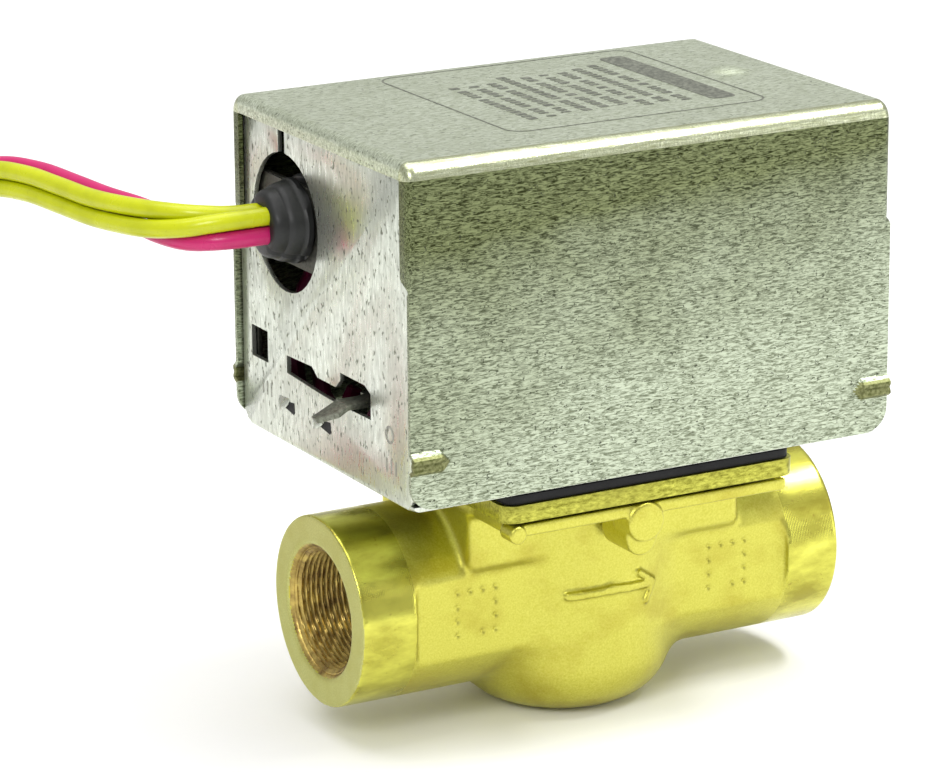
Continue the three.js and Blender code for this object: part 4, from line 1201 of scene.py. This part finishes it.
def strain_relief():
    """A black moulded bushing in two clamped halves, tapering to where the leads leave."""
    tip = RELIEF_TIP_X
    profile = [
        (0.01, -36.9), (6.9, -36.9), (7.2, -37.3), (7.2, -40.2), (6.9, -40.5), (5.5, -40.5),
        (5.5, -41.6), (6.6, -41.65), (6.9, -41.9), (6.85, -42.7), (6.6, -43.0), (6.5, -43.4),
        (6.3, -44.6), (6.0, -45.4), (5.75, -45.6), (5.6, -46.2), (5.4, -47.0), (5.0, tip + 0.25),
        (4.5, tip), (3.2, tip), (2.9, tip + 0.8), (0.01, tip + 0.8),
    ]

    def squared(radius, height, angle):
        """Two flats and the split between the halves, on the part outside the bracket."""
        if radius < 3.5 or height > -41.7:
            return radius
        flattened = 1 - 0.06 * abs(math.sin(2 * angle)) ** 3
        split = min(abs(angle - math.pi * 0.30), abs(angle - math.pi * 1.30))
        return radius * flattened - 0.7 * smoothstep(1 - split / 0.09)

    sides = 96
    points = []
    for radius, height in profile:
        for k in range(sides):
            angle = 2 * math.pi * k / sides
            r = squared(radius, height, angle)
            points.append((height, r * math.cos(angle) + RELIEF_Y, r * math.sin(angle) + RELIEF_Z))
    made = capped_rows("strain_relief_bushing", points, len(profile), sides, MATERIAL["black"], 35)
    add_piece(made, "valve", "black_plastic", "strain_relief")


def spline(rows, steps):
    """A smooth curve through rows of numbers, with steps points between each pair."""
    known = np.array(rows, float)
    padded = np.vstack([2 * known[0] - known[1], known, 2 * known[-1] - known[-2]])
    out = []
    for i in range(1, len(padded) - 2):
        a, b, c, d = padded[i - 1 : i + 3]
        for k in range(steps):
            t = k / steps
            out.append(0.5 * (2 * b + (c - a) * t + (2 * a - 5 * b + 4 * c - d) * t * t
                              + (3 * b - a - 3 * c + d) * t**3))
    out.append(padded[-2])
    return np.array(out)


def bundle_paths():
    """The four leads where they twist round each other, before the coil."""
    line = spline(LEAD_ROUTE, 4)
    centre, twist = line[:, :3], line[:, 3]
    along = np.gradient(centre, axis=0)
    along /= np.linalg.norm(along, axis=1)[:, None]
    up = np.array((0.0, 0.0, 1.0))
    normal = up - along * (along @ up)[:, None]
    normal /= np.linalg.norm(normal, axis=1)[:, None]
    side = np.cross(along, normal)
    paths = []
    for k in range(4):
        angle = np.radians(FIRST_LEAD_ANGLE + 90 * k + twist)[:, None]
        paths.append(centre + BUNDLE_R * (np.cos(angle) * normal + np.sin(angle) * side))
    return paths


def path_length(path):
    """The length of a line through points, in millimetres."""
    return float(np.linalg.norm(np.diff(path, axis=0), axis=1).sum())


def coil_path(start, radius, turns):
    """Winds down from where the bundle arrives to the floor, and settles into its ring."""
    offset = start[:2] - np.array(COIL_CENTRE)
    first = math.atan2(offset[1], offset[0])
    reach = math.hypot(*offset)
    floor = LEAD_DIAMETER / 2
    count = max(int(turns * 26), 12)
    path = []
    for k in range(1, count + 1):
        angle = 2 * math.pi * turns * k / count
        settled = smoothstep(angle / COIL_SETTLE)
        r = reach + (radius - reach) * settled
        resting = floor + COIL_STEP * (turns - turns * k / count)
        top = floor + COIL_STEP * turns
        z = resting + (start[2] - top) * (1 - settled)
        path.append((COIL_CENTRE[0] + r * math.cos(first + angle),
                     COIL_CENTRE[1] + r * math.sin(first + angle), max(z, floor)))
    return np.array(path)


def lead_path(index):
    """One lead's whole line, with enough turns in the coil for its real length."""
    straight = bundle_paths()[index]
    low, high = 0.5, 6.0
    for _ in range(30):
        turns = (low + high) / 2
        whole = np.vstack([straight, coil_path(straight[-1], COIL_RADII[index], turns)])
        if path_length(whole) > LEAD_LENGTH:
            high = turns
        else:
            low = turns
    return whole


def copper_end(name, path):
    """The stripped end of a lead: seven strands twisted together."""
    end = path[-1]
    along = path[-1] - path[-2]
    along /= np.linalg.norm(along)
    side = np.cross(along, (0, 0, 1))
    side /= np.linalg.norm(side)
    up = np.cross(side, along)
    parts = []
    for k in range(7):
        line = []
        for i in range(15):
            s = -0.8 + 8.8 * i / 14
            angle = 2 * math.pi * k / 6 + 0.32 * s
            r = 0.0 if k == 6 else 0.42
            line.append(end + along * s + r * (math.cos(angle) * side + math.sin(angle) * up)
                        + up * (-0.55 * smoothstep(s / 8)))
        parts.append(tube("strand", line, 0.2, MATERIAL["copper"], 8))
    return joined(name, parts)


def lead(index):
    """One lead as a cord of its real length, with its stripped end."""
    name = LEAD_NAMES[index]
    path = lead_path(index)
    colour = "yellow" if index < 2 else "red"
    data = bpy.data.curves.new(name + "_cord", "CURVE")
    data.dimensions = "3D"
    data.bevel_depth = LEAD_DIAMETER / 2 * MM
    data.bevel_resolution = 6
    data.use_fill_caps = True
    data.resolution_u = 4
    run = data.splines.new("POLY")
    dense = spline(path, 3)
    run.points.add(len(dense) - 1)
    for point, place in zip(run.points, dense):
        point.co = (*(place * MM), 1)
    run.use_smooth = True
    data.materials.append(MATERIAL[colour])
    made = placed(name + "_cord", data)
    nodes = (name, "lead_coil") if index == 0 else (name,)
    add_piece(made, "valve", colour + "_insulation", *nodes)
    end = copper_end(name + "_strands", path)
    add_piece(end, "valve", "copper")
    return path


def lead_tie(paths):
    """A black strap round the coil, drawn close over the leads."""
    direction = np.array((math.cos(TIE_ANGLE), math.sin(TIE_ANGLE)))
    inner, outer = COIL_RADII[2] - 1.8, COIL_RADII[0] + 1.8
    tops = {}
    for index, path in enumerate(paths):
        flat = path[:, :2] - np.array(COIL_CENTRE)
        r = np.linalg.norm(flat, axis=1)
        near = (flat @ direction) / r > math.cos(0.25)
        tops[index] = float(path[near][:, 2].max()) + 1.8
    outline = [(inner, 0.35), (outer, 0.35), (outer, tops[0] - 0.7), (outer - 0.9, tops[0]),
               (COIL_RADII[1] + 0.4, tops[1]), (COIL_RADII[3] + 0.4, tops[3]),
               (inner + 0.9, tops[2]), (inner, tops[2] - 0.7)]
    line = []
    for k, (r, z) in enumerate(outline):
        nr, nz = outline[(k + 1) % len(outline)]
        for t in (0.0, 0.33, 0.67):
            line.append((r + (nr - r) * t, z + (nz - z) * t))
    middle = np.mean(line, axis=0)
    points = []
    across = np.array((-direction[1], direction[0]))
    section = ((-1.6, 0.0), (1.6, 0.0), (1.6, 0.55), (-1.6, 0.55))
    for r, z in line:
        away = np.array((r, z)) - middle
        away /= np.linalg.norm(away)
        for s, out in section:
            radius = r + away[0] * out
            flat = direction * radius + across * s + np.array(COIL_CENTRE)
            points.append((flat[0], flat[1], max(z + away[1] * out, 0.02)))
    faces = grid_faces(len(line), 4, closed_rows=True, closed_columns=True)
    made = make_object("lead_tie_strap", points, faces, [MATERIAL["black"]], 50)
    fix_normals(made)
    bevel(made, 0.12, 50)
    add_piece(made, "valve", "black_plastic", "lead_tie")


# --- studio ---


def area_light(name, place, target, size, power):
    data = bpy.data.lights.new(name, "AREA")
    data.shape = "RECTANGLE"
    data.size, data.size_y = size
    data.energy = power
    lamp = placed(name, data)
    lamp.location = place
    aim = Vector(target) - Vector(place)
    lamp.rotation_euler = aim.to_track_quat("-Z", "Y").to_euler()


def studio():
    """A pale floor under soft light from above, with a key from the front left."""
    half = 4000
    points = [(-half, -half, -0.05), (half, -half, -0.05), (half, half, -0.05), (-half, half, -0.05)]
    floor = make_object("floor", points, [(0, 1, 2, 3)], [MATERIAL["floor"]])
    world = bpy.data.worlds.new("studio")
    bpy.context.scene.world = world
    world.use_nodes = True
    world.node_tree.nodes["Background"].inputs["Color"].default_value = (1, 1, 1, 1)
    world.node_tree.nodes["Background"].inputs["Strength"].default_value = 0.6
    area_light("overhead", (0.0, 0.1, 1.1), (0, 0, 0.05), (1.2, 0.9), 8)
    area_light("key", (-0.7, -0.6, 0.7), (0, 0, 0.05), (0.4, 0.4), 4)
    area_light("fill", (0.9, -0.8, 0.35), (0, 0, 0.05), (0.5, 0.7), 2)
    area_light("edge", (0.45, -0.26, 0.85), (0, 0, 0.08), (0.5, 0.12), 5)
    bpy.context.scene.view_settings.view_transform = "Standard"


# --- build ---

camera()
studio()
lead_paths = [lead(index) for index in range(4)]
lead_tie(lead_paths)
strain_relief()
brass_body()
thread_sleeve("inlet_thread", -1)
thread_sleeve("outlet_thread", 1)
cover_shell()
label_print()
base_frame()
carried_nodes()
